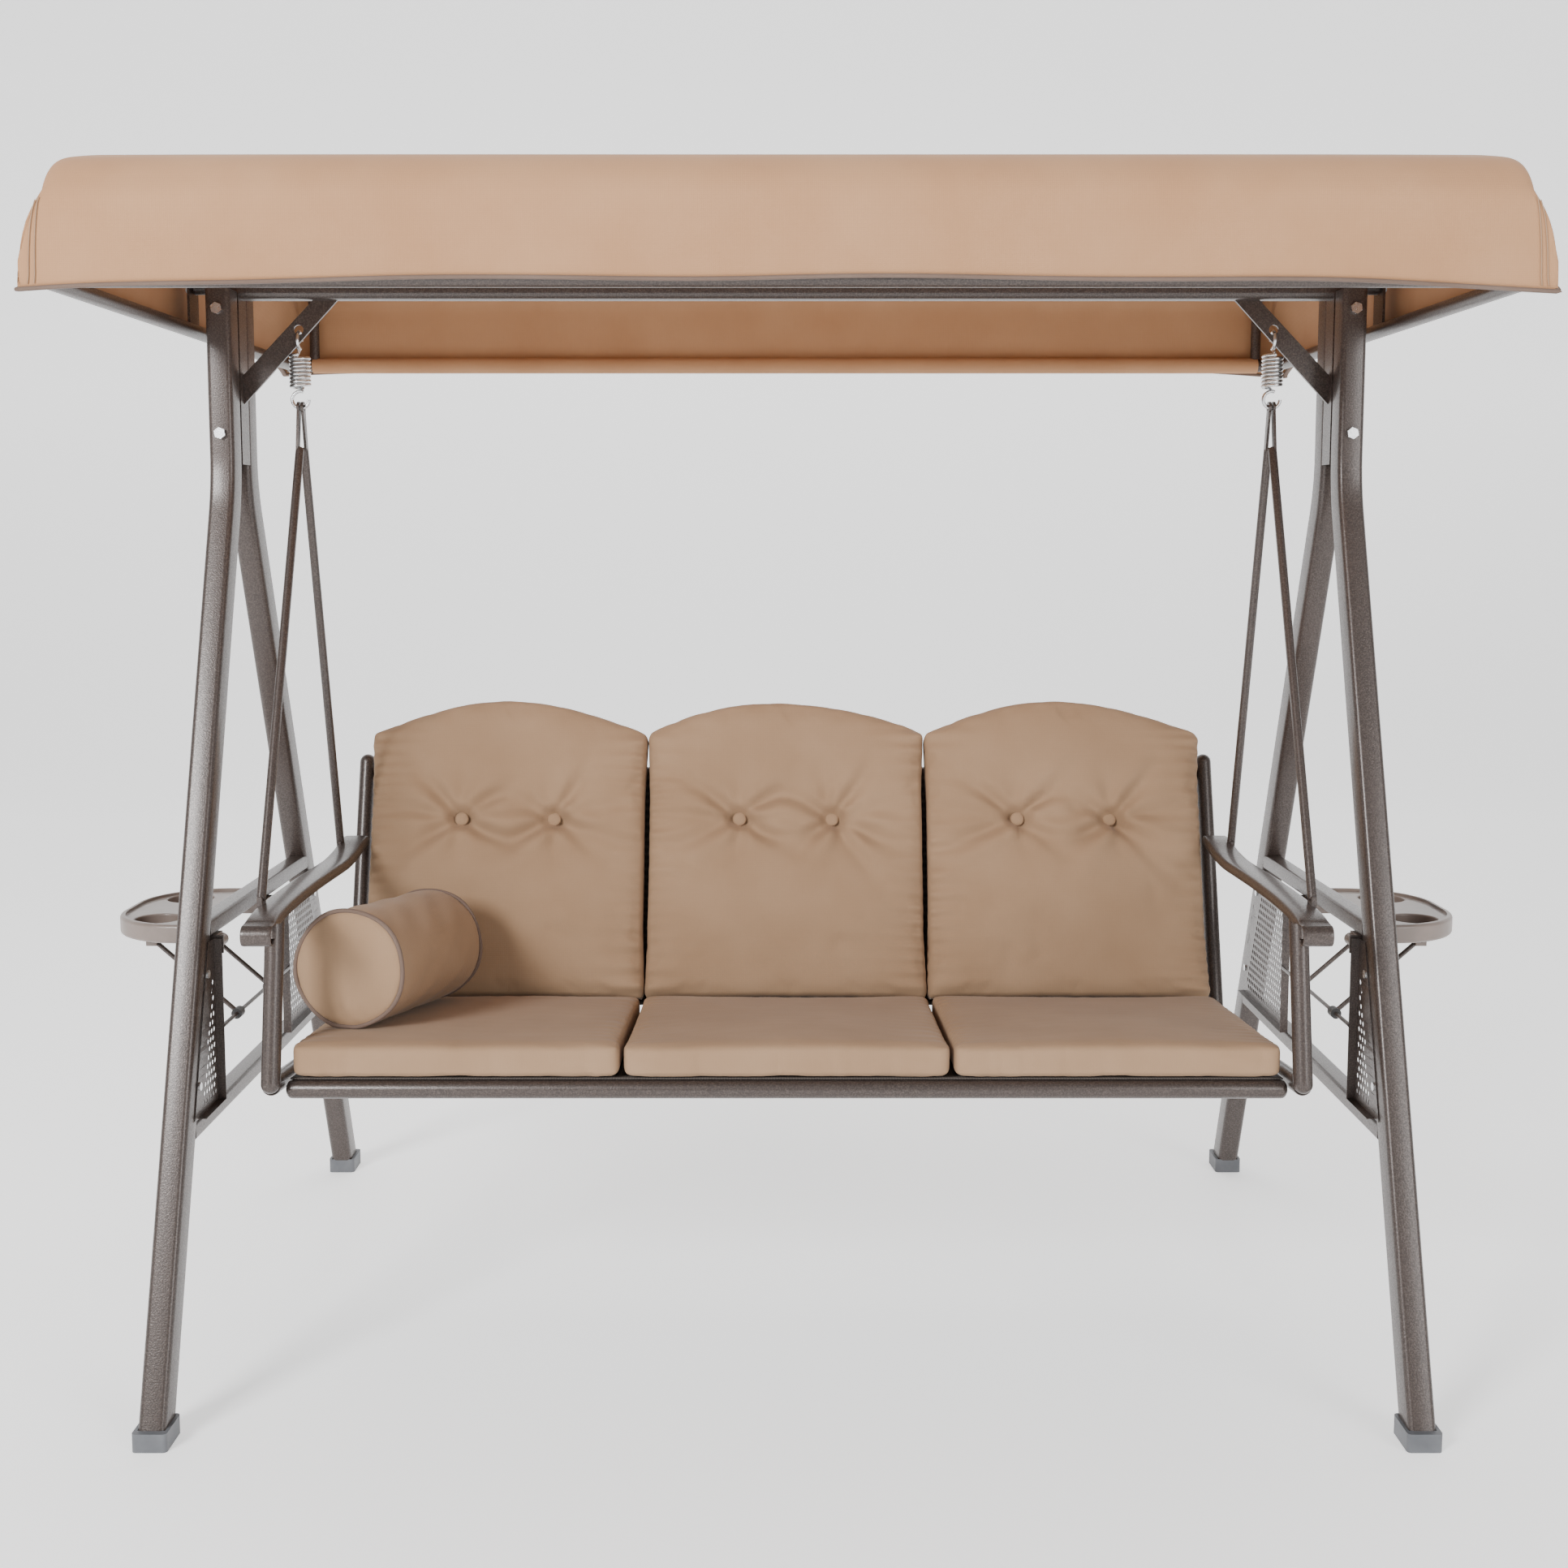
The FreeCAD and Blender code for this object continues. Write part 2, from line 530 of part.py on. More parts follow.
# ---------------------------------------------------------------- springs and hangers
ring_high = size("hook_height") - 3 - size("ring_radius")
ring_floor = size("coil_bottom") - (size("coil_top") - size("coil_bottom")) * 0.12 - 2 * size("ring_radius")


def spring(side):
    """Close coils between two open hooks, all one bent wire."""
    x, wire = side * size("hook_x"), size("wire_radius")
    coil, ring = size("coil_radius"), size("ring_radius")
    top, bottom = size("coil_top"), size("coil_bottom")
    turns = 8.5
    helix = Part.makeHelix((top - bottom) / turns, top - bottom, coil)
    section = Part.Wire(Part.makeCircle(wire, V(coil, 0, 0), Y_AXIS))
    shape = Part.Wire(helix).makePipeShell([section], True, True)
    shape.rotate(V(0, 0, 0), Z_AXIS, 90)
    shape.translate(V(x, 0, bottom))
    for centre, step, coil_y in ((ring_high, -1, -coil), (ring_floor + ring, 1, coil)):
        hook = Part.makeTorus(ring, wire, V(x, 0, centre), X_AXIS, -180, 180, 290)
        hook.rotate(V(x, 0, centre), X_AXIS, 90 * step)
        if step > 0:
            hook.rotate(V(x, 0, centre), Z_AXIS, 90)
        near = V(x, 0, centre + step * ring)
        end = V(x, coil_y, top if step < 0 else bottom)
        reach = (end - near).normalize() * wire * 0.6
        link = rod(tuple(near - reach), tuple(end + reach), wire * 0.93)
        shape = shape.fuse(hook).fuse(link)
    return shape


for side_name, side in SIDES:
    computed(spring(side), "spring_" + side_name)
    x = side * size("hook_x")
    foot_x = side * (size("seat_half") + size("post_radius") + 4)
    for end_name, step in (("front", -1), ("rear", 1)):
        reach = size("hanger_front") if step < 0 else size("hanger_rear")
        # A tube pressed flat and drilled at both ends: the two top ends hang side by side in the lower hook.
        blade = x + side * step * -3.2
        knee = (x, step * 14, ring_floor - 66)
        foot = (foot_x, step * reach, size("hanger_foot") + 30)
        eye = Part.makeCylinder(9, 4, V(blade - 2, 0, ring_floor + 1), X_AXIS)
        corners = ((-7, ring_floor + 1), (7, ring_floor + 1), (knee[1] + 5.5, knee[2]), (knee[1] - 5.5, knee[2]))
        points = [V(blade - 2, y, z) for y, z in corners]
        eye = eye.fuse(Part.Face(Part.makePolygon(points + points[:1])).extrude(V(4, 0, 0)))
        eye = eye.cut(Part.makeCylinder(4.6, 30, V(x - 15, 0, ring_floor + 1), X_AXIS))
        tube = Part.makeSphere(size("hanger_radius"), V(*knee))
        tube = tube.fuse(rod(knee, foot, size("hanger_radius")))
        tube = tube.fuse(Part.makeSphere(size("hanger_radius"), V(*foot)))
        flat = block((foot_x - 3.5, step * reach - 11, size("hanger_foot") - 14),
                     (foot_x + 3.5, step * reach + 11, size("hanger_foot") + 32))
        bolt_line = V(foot_x - 15, step * reach, size("hanger_foot"))
        flat = flat.cut(Part.makeCylinder(4.2, 30, bolt_line, X_AXIS))
        computed(eye.fuse(tube).fuse(flat).removeSplitter(), "hanger_%s_%s" % (end_name, side_name))

# ---------------------------------------------------------------- seat frame
front_y, rear_y = -size("seat_front"), size("seat_rear")
seat_z, rear_z = size("seat_height"), size("rear_height")
fall = (seat_z - rear_z) / (rear_y - front_y)
half, tube_r = size("seat_half"), size("post_radius")
lean = math.radians(size("back_lean"))


def back_point(along, out):
    """A point of the leaning back: distance up it from the seat tube, and out from its face."""
    return (rear_y + along * math.sin(lean) - out * math.cos(lean),
            rear_z + along * math.cos(lean) + out * math.sin(lean))


def cross_tube(label, radius, wall, reach, y, z):
    """A round tube along X: a cylinder less its bore, both bound to the sheet."""
    parts = []
    for part_name, rule, extra in (("_skin", radius, "0"), ("_bore", "%s - %s" % (radius, wall), "1")):
        bar = bind(doc.addObject("Part::Cylinder", label + part_name), Radius=rule,
                   Height="2 * (%s + %s)" % (reach, extra), Placement_Base_x="-(%s + %s)" % (reach, extra),
                   Placement_Base_y=y, Placement_Base_z=z)
        bar.Placement.Rotation = FreeCAD.Rotation(Y_AXIS, 90)
        parts.append(bar)
    tube = doc.addObject("Part::Cut", label)
    tube.Base, tube.Tool = parts
    return keep(tube, label)


SEAT_REACH = "dims.seat_half - dims.post_radius - 0.5"
cross_tube("seat_front_rail", "dims.rail_radius", "dims.tube_wall", SEAT_REACH, "-dims.seat_front",
           "dims.seat_height")
cross_tube("seat_rear_rail", "dims.rail_radius", "dims.tube_wall", SEAT_REACH, "dims.seat_rear",
           "dims.rear_height")

arm_z = size("arm_height")
for side_name, side in SIDES:
    x = side * half
    # Front post, side tube and leaning rear upright are one welded loop under the armrest.
    post_low = (x, front_y - 29, seat_z + 15.5)
    post_high = (x, front_y + 16, arm_z + 1)
    top_y, top_z = back_point(size("back_long") + 20, 0)

    def welded(radius):
        """The loop's three bars at one radius, with ball joints at its bends."""
        bars = rod(post_low, post_high, radius)
        bars = bars.fuse(rod((x, front_y - 27, seat_z + 12), (x, rear_y, rear_z), radius))
        bars = bars.fuse(rod((x, rear_y, rear_z), (x, top_y, top_z), radius))
        for ball in (post_low, (x, rear_y, rear_z), (x, top_y, top_z)):
            bars = bars.fuse(Part.makeSphere(radius, V(*ball)))
        return bars

    loop = welded(tube_r)
    # The armrest is a pressed channel: it rises from a rolled front edge in a long S to the rear.
    rise = ((-420, 4), (-405, 12), (-380, 16), (-330, 20), (-250, 22), (-150, 22), (-50, 20), (40, 18),
            (110, 24), (150, 32), (185, 34))
    upper = [V(0, y, arm_z + z + size("arm_thick")) for y, z in rise]
    lower = [V(0, y, arm_z + z) for y, z in rise]
    curve_top = Part.BSplineCurve()
    curve_top.interpolate(upper)
    curve_low = Part.BSplineCurve()
    curve_low.interpolate(lower)
    edges = [curve_top.toShape(), Part.makeLine(upper[-1], lower[-1]), curve_low.toShape(),
             Part.makeLine(lower[0], upper[0])]
    width = size("arm_width")
    plate = Part.Face(Part.Wire(Part.__sortEdges__(edges))).extrude(V(width, 0, 0))
    plate.translate(V(x - width / 2, 0, 0))
    roll = Part.makeCylinder(12, width, V(x - width / 2, -418, arm_z - 5), X_AXIS)
    roll = roll.cut(Part.makeCylinder(9, width + 2, V(x - width / 2 - 1, -418, arm_z - 5), X_AXIS))
    arm = plate.fuse(roll)
    arm = arm.cut(loop)
    # Its outer edge is notched where the two hangers pass down to their bolts.
    for y in (-size("hanger_front"), size("hanger_rear")):
        start, end = sorted((side * (half + tube_r - 3.6), side * (half + 60)))
        arm = arm.cut(block((start, y - 12, arm_z - 30), (end, y + 12, arm_z + 60)))
    solids = sorted(arm.Solids, key=lambda solid: solid.Volume)
    above = block((x - 40, front_y - 80, arm_z + 16), (x + 40, front_y + 90, arm_z + 60))
    frame_loop = loop.cut(plate.fuse(above)).cut(welded(tube_r - size("tube_wall")))
    frame_loop = sorted(frame_loop.Solids, key=lambda solid: solid.Volume)[-1]
    computed(frame_loop, "seat_side_" + side_name)
    computed(solids[-1], "armrest_" + side_name)

seat_bolts = []
for side_name, side in SIDES:
    for y in (-size("hanger_front"), size("hanger_rear")):
        start = side * (half + tube_r + 7.6)
        head = Part.makeCylinder(8, 5, V(start, y, size("hanger_foot")), V(side, 0, 0))
        shank = Part.makeCylinder(4, 7.3, V(start, y, size("hanger_foot")), V(-side, 0, 0))
        seat_bolts.append(head.fuse(shank).removeSplitter())
computed(Part.makeCompound(seat_bolts), "hanger_bolts")

inner = half - tube_r - 1
top_y, top_z = back_point(size("back_long"), 0)
back_rail = Part.makeCylinder(11, 2 * inner, V(-inner, top_y, top_z), X_AXIS)
back_rail = back_rail.cut(Part.makeCylinder(11 - size("tube_wall"), 2 * inner + 2,
                                            V(-inner - 1, top_y, top_z), X_AXIS))
computed(back_rail, "back_top_rail")

# Woven slings between the tubes carry the cushions.
deck_z = seat_z + size("rail_radius") + 0.3


def sloped(x_low, x_high, from_y, to_y, low, high):
    """A slab that follows the fall of the seat: low and high are heights above its line at the front tube."""
    points = [V(x_low, y, base - fall * (y - front_y))
              for y, base in ((from_y, low), (to_y, low), (to_y, high), (from_y, high))]
    return Part.Face(Part.makePolygon(points + points[:1])).extrude(V(x_high - x_low, 0, 0))


computed(sloped(-inner + 4, inner - 4, front_y - 6, rear_y + 2, deck_z, deck_z + 2), "seat_sling")


def back_slab(x_low, x_high, from_along, to_along, out_low, out_high):
    """A slab lying in the plane of the back."""
    corners = [(from_along, out_low), (to_along, out_low), (to_along, out_high), (from_along, out_high)]
    points = [V(x_low, *back_point(along, out)) for along, out in corners]
    return Part.Face(Part.makePolygon(points + points[:1])).extrude(V(x_high - x_low, 0, 0))


back_long = size("back_long")
computed(back_slab(-inner + 4, inner - 4, 34, back_long + 4, 14, 16), "back_sling")

# ---------------------------------------------------------------- cushions
pitch = size("cushion_width") + 3
cushion_low = deck_z + 2.6
cushion_names = ("left", "middle", "right")
for number, name in enumerate(cushion_names):
    x = (number - 1) * pitch
    w = size("cushion_width") / 2
    pad = sloped(x - w, x + w, front_y - 14, rear_y - 82, cushion_low, cushion_low + size("cushion_thick"))
    pad = pad.makeFillet(14, pad.Edges)
    computed(pad, "seat_cushion_" + name)

back_start = 50
for number, name in enumerate(cushion_names):
    x = (number - 1) * pitch
    w = size("cushion_width") / 2
    along_low, along_side, along_top = back_start, back_long + 50, back_long + 102
    out = 16.6
    plan = [V(x - w, along_low, 0), V(x + w, along_low, 0), V(x + w, along_side, 0), V(x - w, along_side, 0)]
    edges = [Part.makeLine(plan[0], plan[1]), Part.makeLine(plan[1], plan[2]),
             Part.Arc(plan[2], V(x, along_top, 0), plan[3]).toShape(), Part.makeLine(plan[3], plan[0])]
    pad = Part.Face(Part.Wire(edges)).extrude(V(0, 0, size("back_cushion")))
    pad = pad.makeFillet(22, pad.Edges)
    pad.rotate(V(0, 0, 0), X_AXIS, 90 - size("back_lean"))
    start_y, start_z = back_point(0, out)
    pad.translate(V(0, start_y, start_z))
    computed(pad, "back_cushion_" + name)

bolster_r, bolster_l = size("bolster_radius"), size("bolster_length")
bolster_z = cushion_low + size("cushion_thick") + bolster_r + 1 - fall * (-262 - front_y)
heading = V(0.075, 0.3, -0.3 * fall).normalize()
near_end = V(-642, -262, bolster_z)
bolster = Part.makeCylinder(bolster_r, bolster_l, near_end, heading)
bolster = bolster.makeFillet(9, [e for e in bolster.Edges if len(e.Vertexes) == 1 or e.Closed])
computed(bolster, "bolster")

# ---------------------------------------------------------------- canopy
tube_x = size("canopy_half") - size("frame_inset")
tube_y = size("canopy_depth") - size("frame_inset")
frame_z, frame_r = size("frame_height"), size("frame_radius")
for end_name, step in (("front", -1), ("rear", 1)):
    cross_tube("canopy_%s_tube" % end_name, "dims.frame_radius", "dims.tube_wall",
               "dims.canopy_half - dims.frame_inset + dims.frame_radius",
               "%d * (dims.canopy_depth - dims.frame_inset)" % step, "dims.frame_height")
brackets = []
for side_name, side in SIDES:
    name = "canopy_side_tube_" + side_name
    reach = "dims.canopy_depth - dims.frame_inset - dims.frame_radius"
    parts = []
    for part_name, rule, extra in (("_skin", "dims.frame_radius", "0"),
                                   ("_bore", "dims.frame_radius - dims.tube_wall", "1")):
        bar = bind(doc.addObject("Part::Cylinder", name + part_name), Radius=rule,
                   Height="2 * (%s + %s)" % (reach, extra),
                   Placement_Base_x="%d * (dims.canopy_half - dims.frame_inset)" % side,
                   Placement_Base_y="%s + %s" % (reach, extra), Placement_Base_z="dims.frame_height")
        bar.Placement.Rotation = FreeCAD.Rotation(X_AXIS, 90)
        parts.append(bar)
    bar = doc.addObject("Part::Cut", name)
    bar.Base, bar.Tool = parts
    keep(bar, name)
    ear = block((side * tube_x - 2, -22, frame_z + frame_r - 1),
                (side * tube_x + 2, 22, size("beam_height") + 20))
    ear = ear.cut(Part.makeCylinder(frame_r, 60, V(side * tube_x, -30, frame_z), Y_AXIS))
    ear = ear.cut(Part.makeCylinder(size("bolt_radius") + 0.4, 30,
                                    V(side * tube_x - 15, 0, size("beam_height")), X_AXIS))
    brackets.append(ear)
computed(Part.makeCompound(brackets), "canopy_brackets")

pivots = []
for side_name, side in SIDES:
    start = V(side * (tube_x + 2.4), 0, size("beam_height"))
    head = Part.makeCylinder(10, 6, start, V(side, 0, 0))
    shank = Part.makeCylinder(size("bolt_radius"), 34, start, V(-side, 0, 0))
    pivots.append(head.fuse(shank).removeSplitter())
computed(Part.makeCompound(pivots), "canopy_pivots")

# The cover's section: an upright valance, a rounded eave and a long bow over the top.
eave, crown = size("canopy_eave"), size("canopy_crown")


def section(inset):
    """Arcs of the section from the front eave over to the rear one, all moved in by the inset."""
    y, corner = size("canopy_depth"), size("canopy_round")
    drop = crown - eave
    bow = (drop ** 2 + (y - corner) ** 2 - corner ** 2) / (2 * (drop - corner))
    turn = math.atan2(y - corner, bow - drop)
    inner = corner - inset
    meet = V(0, -(y - corner) - inner * math.sin(turn), eave + inner * math.cos(turn))
    half_turn = (turn + math.pi / 2) / 2
    middle = V(0, -(y - corner) - inner * math.sin(half_turn), eave + inner * math.cos(half_turn))
    start = V(0, -y + inset, eave)
    top = V(0, 0, crown - inset)

    def over(point):
        return V(0, -point.y, point.z)

    return start, [Part.Arc(start, middle, meet).toShape(), Part.Arc(meet, top, over(meet)).toShape(),
                   Part.Arc(over(meet), over(middle), over(start)).toShape()], over(start)


# Two bowed tubes, one over each end, hold the cover up.
hoop_r = size("hoop_radius")
hoops = []
for x in (-tube_x + 40, tube_x - 40):
    start, arcs, end = section(size("frame_inset"))
    foot = frame_z + frame_r + 0.4
    edges = [Part.makeLine(V(0, start.y, foot), start)] + arcs + [Part.makeLine(end, V(0, end.y, foot))]
    hoop = bent(edges, hoop_r).cut(bent(edges, hoop_r - size("tube_wall")))
    hoop.translate(V(x, 0, 0))
    hoops.append(hoop)
computed(Part.makeCompound(hoops), "canopy_hoops")


def cover_solid(inset):
    """The cover's outer form, or its inside when inset."""
    start, arcs, end = section(inset)
    low = size("canopy_hem") - (0 if inset == 0 else 10)
    x = size("canopy_half") - inset
    edges = [Part.makeLine(V(0, start.y, low), start)] + arcs
    edges += [Part.makeLine(end, V(0, end.y, low)), Part.makeLine(V(0, end.y, low), V(0, start.y, low))]
    solid = Part.Face(Part.Wire(edges)).extrude(V(2 * x, 0, 0))
    solid.translate(V(-x, 0, 0))
    return solid


cover = cover_solid(0).cut(cover_solid(size("fabric_thick")))
computed(cover, "canopy_cover")

# ---------------------------------------------------------------- check and export
doc.recompute()
for obj in doc.Objects:
    if "Invalid" in obj.State or "Error" in obj.State:
        raise RuntimeError("%s is %s" % (obj.Label, obj.State))
for obj in nodes:
    if obj.Shape.isNull() or not obj.Shape.isValid() or obj.Shape.Volume <= 0:
        raise RuntimeError("%s has no valid shape" % obj.Label)
for obj in nodes:
    obj.Shape.exportStep("parts/%s.step" % obj.Label)
print("%d sub-parts written" % len(nodes))
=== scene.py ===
import math

import bmesh
import bpy
import numpy as np
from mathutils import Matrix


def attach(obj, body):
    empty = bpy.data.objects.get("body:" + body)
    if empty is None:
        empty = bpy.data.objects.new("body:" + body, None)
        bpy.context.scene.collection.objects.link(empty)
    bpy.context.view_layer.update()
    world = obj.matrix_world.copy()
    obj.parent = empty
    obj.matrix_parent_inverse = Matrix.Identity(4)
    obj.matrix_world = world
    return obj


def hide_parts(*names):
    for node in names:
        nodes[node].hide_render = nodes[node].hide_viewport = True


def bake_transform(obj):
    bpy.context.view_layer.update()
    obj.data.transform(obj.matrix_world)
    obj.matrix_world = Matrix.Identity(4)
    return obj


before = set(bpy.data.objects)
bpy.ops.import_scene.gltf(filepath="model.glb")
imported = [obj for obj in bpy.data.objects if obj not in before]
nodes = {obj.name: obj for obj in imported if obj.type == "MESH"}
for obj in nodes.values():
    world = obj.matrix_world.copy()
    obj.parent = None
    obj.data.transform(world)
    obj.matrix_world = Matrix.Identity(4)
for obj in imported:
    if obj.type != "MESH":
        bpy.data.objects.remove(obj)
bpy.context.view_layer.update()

TAU = 2 * math.pi
SIDES = (("left", -1), ("right", 1))


# ---------------------------------------------------------------- camera, floor and light
# A standing viewer a little over two metres in front of the seat, looking slightly down.  The floor is one pale
# sheet that curves up behind the swing, under broad soft lamps.
lens = bpy.data.cameras.new("viewer")
lens.sensor_width = 36.0
lens.lens = 42.5
lens.shift_x = 0.0027
lens.shift_y = -0.0418
viewer = bpy.data.objects.new("viewer", lens)
viewer.location = (-0.0099, -2.9107, 1.2315)
viewer.rotation_euler = (math.pi / 2 - 0.0989, 0.0, 0.0)
bpy.context.collection.objects.link(viewer)
bpy.context.scene.camera = viewer


def surface(name, grid, wrap=False, ends=False, sharp=40.0):
    """An object from a grid of points, rows by columns.

    Each quad joins point (i, j) to (i+1, j), (i+1, j+1) and (i, j+1).  With wrap the last column joins the
    first; with ends the first and last rows are closed by a fan to their mean point.  The UV map holds
    distances in metres along the first row's columns and down the first column's rows.
    """
    grid = np.asarray(grid, dtype=float)
    rows, cols = grid.shape[:2]
    points = grid.reshape(-1, 3)
    spans = cols if wrap else cols - 1
    i, j = np.meshgrid(np.arange(rows - 1), np.arange(spans), indexing="ij")
    after = (j + 1) % cols
    quads = np.stack([i * cols + j, (i + 1) * cols + j, (i + 1) * cols + after, i * cols + after], -1).reshape(-1, 4)
    down = np.concatenate([[0], np.cumsum(np.linalg.norm(np.diff(grid, axis=0), axis=2).max(axis=1))])
    ring = np.concatenate([grid, grid[:, :1]], axis=1) if wrap else grid
    across = np.concatenate([[0], np.cumsum(np.linalg.norm(np.diff(ring, axis=1), axis=2).max(axis=0))])
    u = np.stack([across[j], across[j], across[j + 1], across[j + 1]], -1).reshape(-1)
    v = np.stack([down[i], down[i + 1], down[i + 1], down[i]], -1).reshape(-1)
    faces = [tuple(q) for q in quads.tolist()]
    uv = list(zip(u.tolist(), v.tolist()))
    if ends:
        hubs = np.stack([grid[0].mean(axis=0), grid[-1].mean(axis=0)])
        points = np.concatenate([points, hubs])
        for row, hub, flip in ((0, rows * cols, False), (rows - 1, rows * cols + 1, True)):
            for a in range(cols):
                b = (a + 1) % cols
                corners = (hub, row * cols + a, row * cols + b)
                faces.append(corners[::-1] if flip else corners)
                uv += [(0.0, 0.0)] * 3
    mesh = bpy.data.meshes.new(name)
    mesh.from_pydata(points.tolist(), [], faces)
    layer = mesh.uv_layers.new(name="cloth")
    layer.data.foreach_set("uv", np.asarray(uv, dtype=np.float32).reshape(-1))
    mesh.shade_smooth()
    mesh.set_sharp_from_angle(angle=math.radians(sharp))
    piece = bpy.data.objects.new(name, mesh)
    bpy.context.collection.objects.link(piece)
    return piece


class Value:
    """A number that varies over a surface: one node socket, with the arithmetic that adds Math nodes."""

    def __init__(self, finish, socket):
        self.finish, self.socket = finish, socket

    def maths(self, operation, *others):
        """This value put through a Math node, with numbers or other values as its further inputs."""
        inputs = dict(enumerate((self,) + others))
        return self.finish.node("ShaderNodeMath", {"operation": operation}, inputs)

    def __add__(self, other):
        return self.maths("ADD", other)

    __radd__ = __add__

    def __mul__(self, other):
        return self.maths("MULTIPLY", other)

    __rmul__ = __mul__

    def __sub__(self, other):
        return self.maths("SUBTRACT", other)

    def __rsub__(self, other):
        return self.finish.node("ShaderNodeMath", {"operation": "SUBTRACT"}, {0: other, 1: self})

    def __pow__(self, other):
        return self.maths("POWER", other)


class Finish:
    """A procedural material under construction: node() adds one node, coat() ends it with a Principled shader."""

    def __init__(self, name):
        self.material = bpy.data.materials.new(name)
        self.material.use_nodes = True
        self.tree = self.material.node_tree
        self.tree.nodes.clear()

    def node(self, kind, settings=None, inputs=None, output=0):
        """Adds a node: its settings first (stops are a ramp's positions and colours), then its sockets."""
        made = self.tree.nodes.new(kind)
        for key, value in (settings or {}).items():
            if key == "stops":
                while len(made.color_ramp.elements) < len(value):
                    made.color_ramp.elements.new(0.5)
                for element, (place, colour) in zip(made.color_ramp.elements, value):
                    element.position, element.color = place, colour
            else:
                setattr(made, key, value)
        for key, value in (inputs or {}).items():
            if isinstance(value, Value):
                self.tree.links.new(value.socket, made.inputs[key])
            else:
                made.inputs[key].default_value = value
        return Value(self, made.outputs[output]) if made.outputs else None

    def place(self, kind="Object", scale=(1.0, 1.0, 1.0)):
        """Object coordinates in metres, or the piece's own UV, stretched by a scale."""
        where = self.node("ShaderNodeTexCoord", output={"Object": 3, "UV": 2, "Normal": 1}[kind])
        return self.node("ShaderNodeMapping", {}, {"Vector": where, "Scale": scale})

    def noise(self, where, scale, detail=2.0, rough=0.5):
        """Fractal noise from 0 to 1 at a number of lumps per metre."""
        return self.node("ShaderNodeTexNoise", {}, {"Vector": where, "Scale": scale, "Detail": detail,
                                                    "Roughness": rough})

    def between(self, value, low, high):
        """The value rescaled so that low gives 0 and high gives 1, held inside that range."""
        return self.node("ShaderNodeMapRange", {"clamp": True}, {"Value": value, "From Min": low, "From Max": high})

    def mix(self, factor, first, second):
        """A colour between two colours."""
        return self.node("ShaderNodeMix", {"data_type": "RGBA"}, {0: factor, 6: first, 7: second}, output=2)

    def bump(self, height, strength, distance, under=None):
        """A normal tilted by a height; distance is the height's size in metres."""
        inputs = {"Height": height, "Strength": strength, "Distance": distance}
        if under is not None:
            inputs["Normal"] = under
        return self.node("ShaderNodeBump", {}, inputs)

    def coat(self, **sockets):
        """The Principled shader and the output; socket names have _ for a space."""
        names = {key.replace("_", " "): value for key, value in sockets.items()}
        shader = self.node("ShaderNodeBsdfPrincipled", {}, names)
        self.node("ShaderNodeOutputMaterial", {}, {"Surface": shader})
        return self.material


def dress(piece, material):
    """Gives a piece one material in place of what it has."""
    piece.data.materials.clear()
    piece.data.materials.append(material)
    return piece


def backdrop():
    """The floor runs level to 5 m behind the swing, then turns up through a quarter circle of 2 m radius."""
    turn = np.linspace(0, math.pi / 2, 24)
    y = np.concatenate([[-40.0, 5.0], 5.0 + 2.0 * np.sin(turn[1:]), [7.0]])
    z = np.concatenate([[0.0, 0.0], 2.0 - 2.0 * np.cos(turn[1:]), [9.0]])
    x = np.array([40.0, -40.0])
    grid = np.stack([np.broadcast_to(x, (len(y), 2)), np.repeat(y[:, None], 2, 1), np.repeat(z[:, None], 2, 1)], -1)
    return surface("backdrop", grid)


paper = Finish("pale_paper")
floor = dress(backdrop(), paper.coat(Base_Color=(0.88, 0.88, 0.88, 1.0), Roughness=0.9,
                                     Emission_Color=(1.0, 1.0, 1.0, 1.0), Emission_Strength=0.72))

sky = bpy.data.worlds.new("studio")
sky.use_nodes = True
sky.node_tree.nodes["Background"].inputs["Color"].default_value = (1.0, 1.0, 1.0, 1.0)
sky.node_tree.nodes["Background"].inputs["Strength"].default_value = 0.46
bpy.context.scene.world = sky

for lamp_name, place, aim, size, power in (("key", (-3.2, -4.6, 3.0), (0, 0, 1.0), 1.6, 360.0),
                                           ("fill", (3.6, -4.4, 2.0), (0, 0, 1.0), 2.4, 130.0),
                                           ("top", (0.0, 1.2, 5.2), (0, 0, 0.5), 4.0, 120.0)):
    lamp = bpy.data.lights.new(lamp_name, "AREA")
    lamp.size = size
    lamp.energy = power
    holder = bpy.data.objects.new(lamp_name, lamp)
    reach = np.array(aim, dtype=float) - np.array(place, dtype=float)
    flat = math.hypot(reach[0], reach[1])
    holder.location = place
    holder.rotation_euler = (math.atan2(flat, -reach[2]), 0.0, math.atan2(-reach[0], reach[1]))
    bpy.context.collection.objects.link(holder)


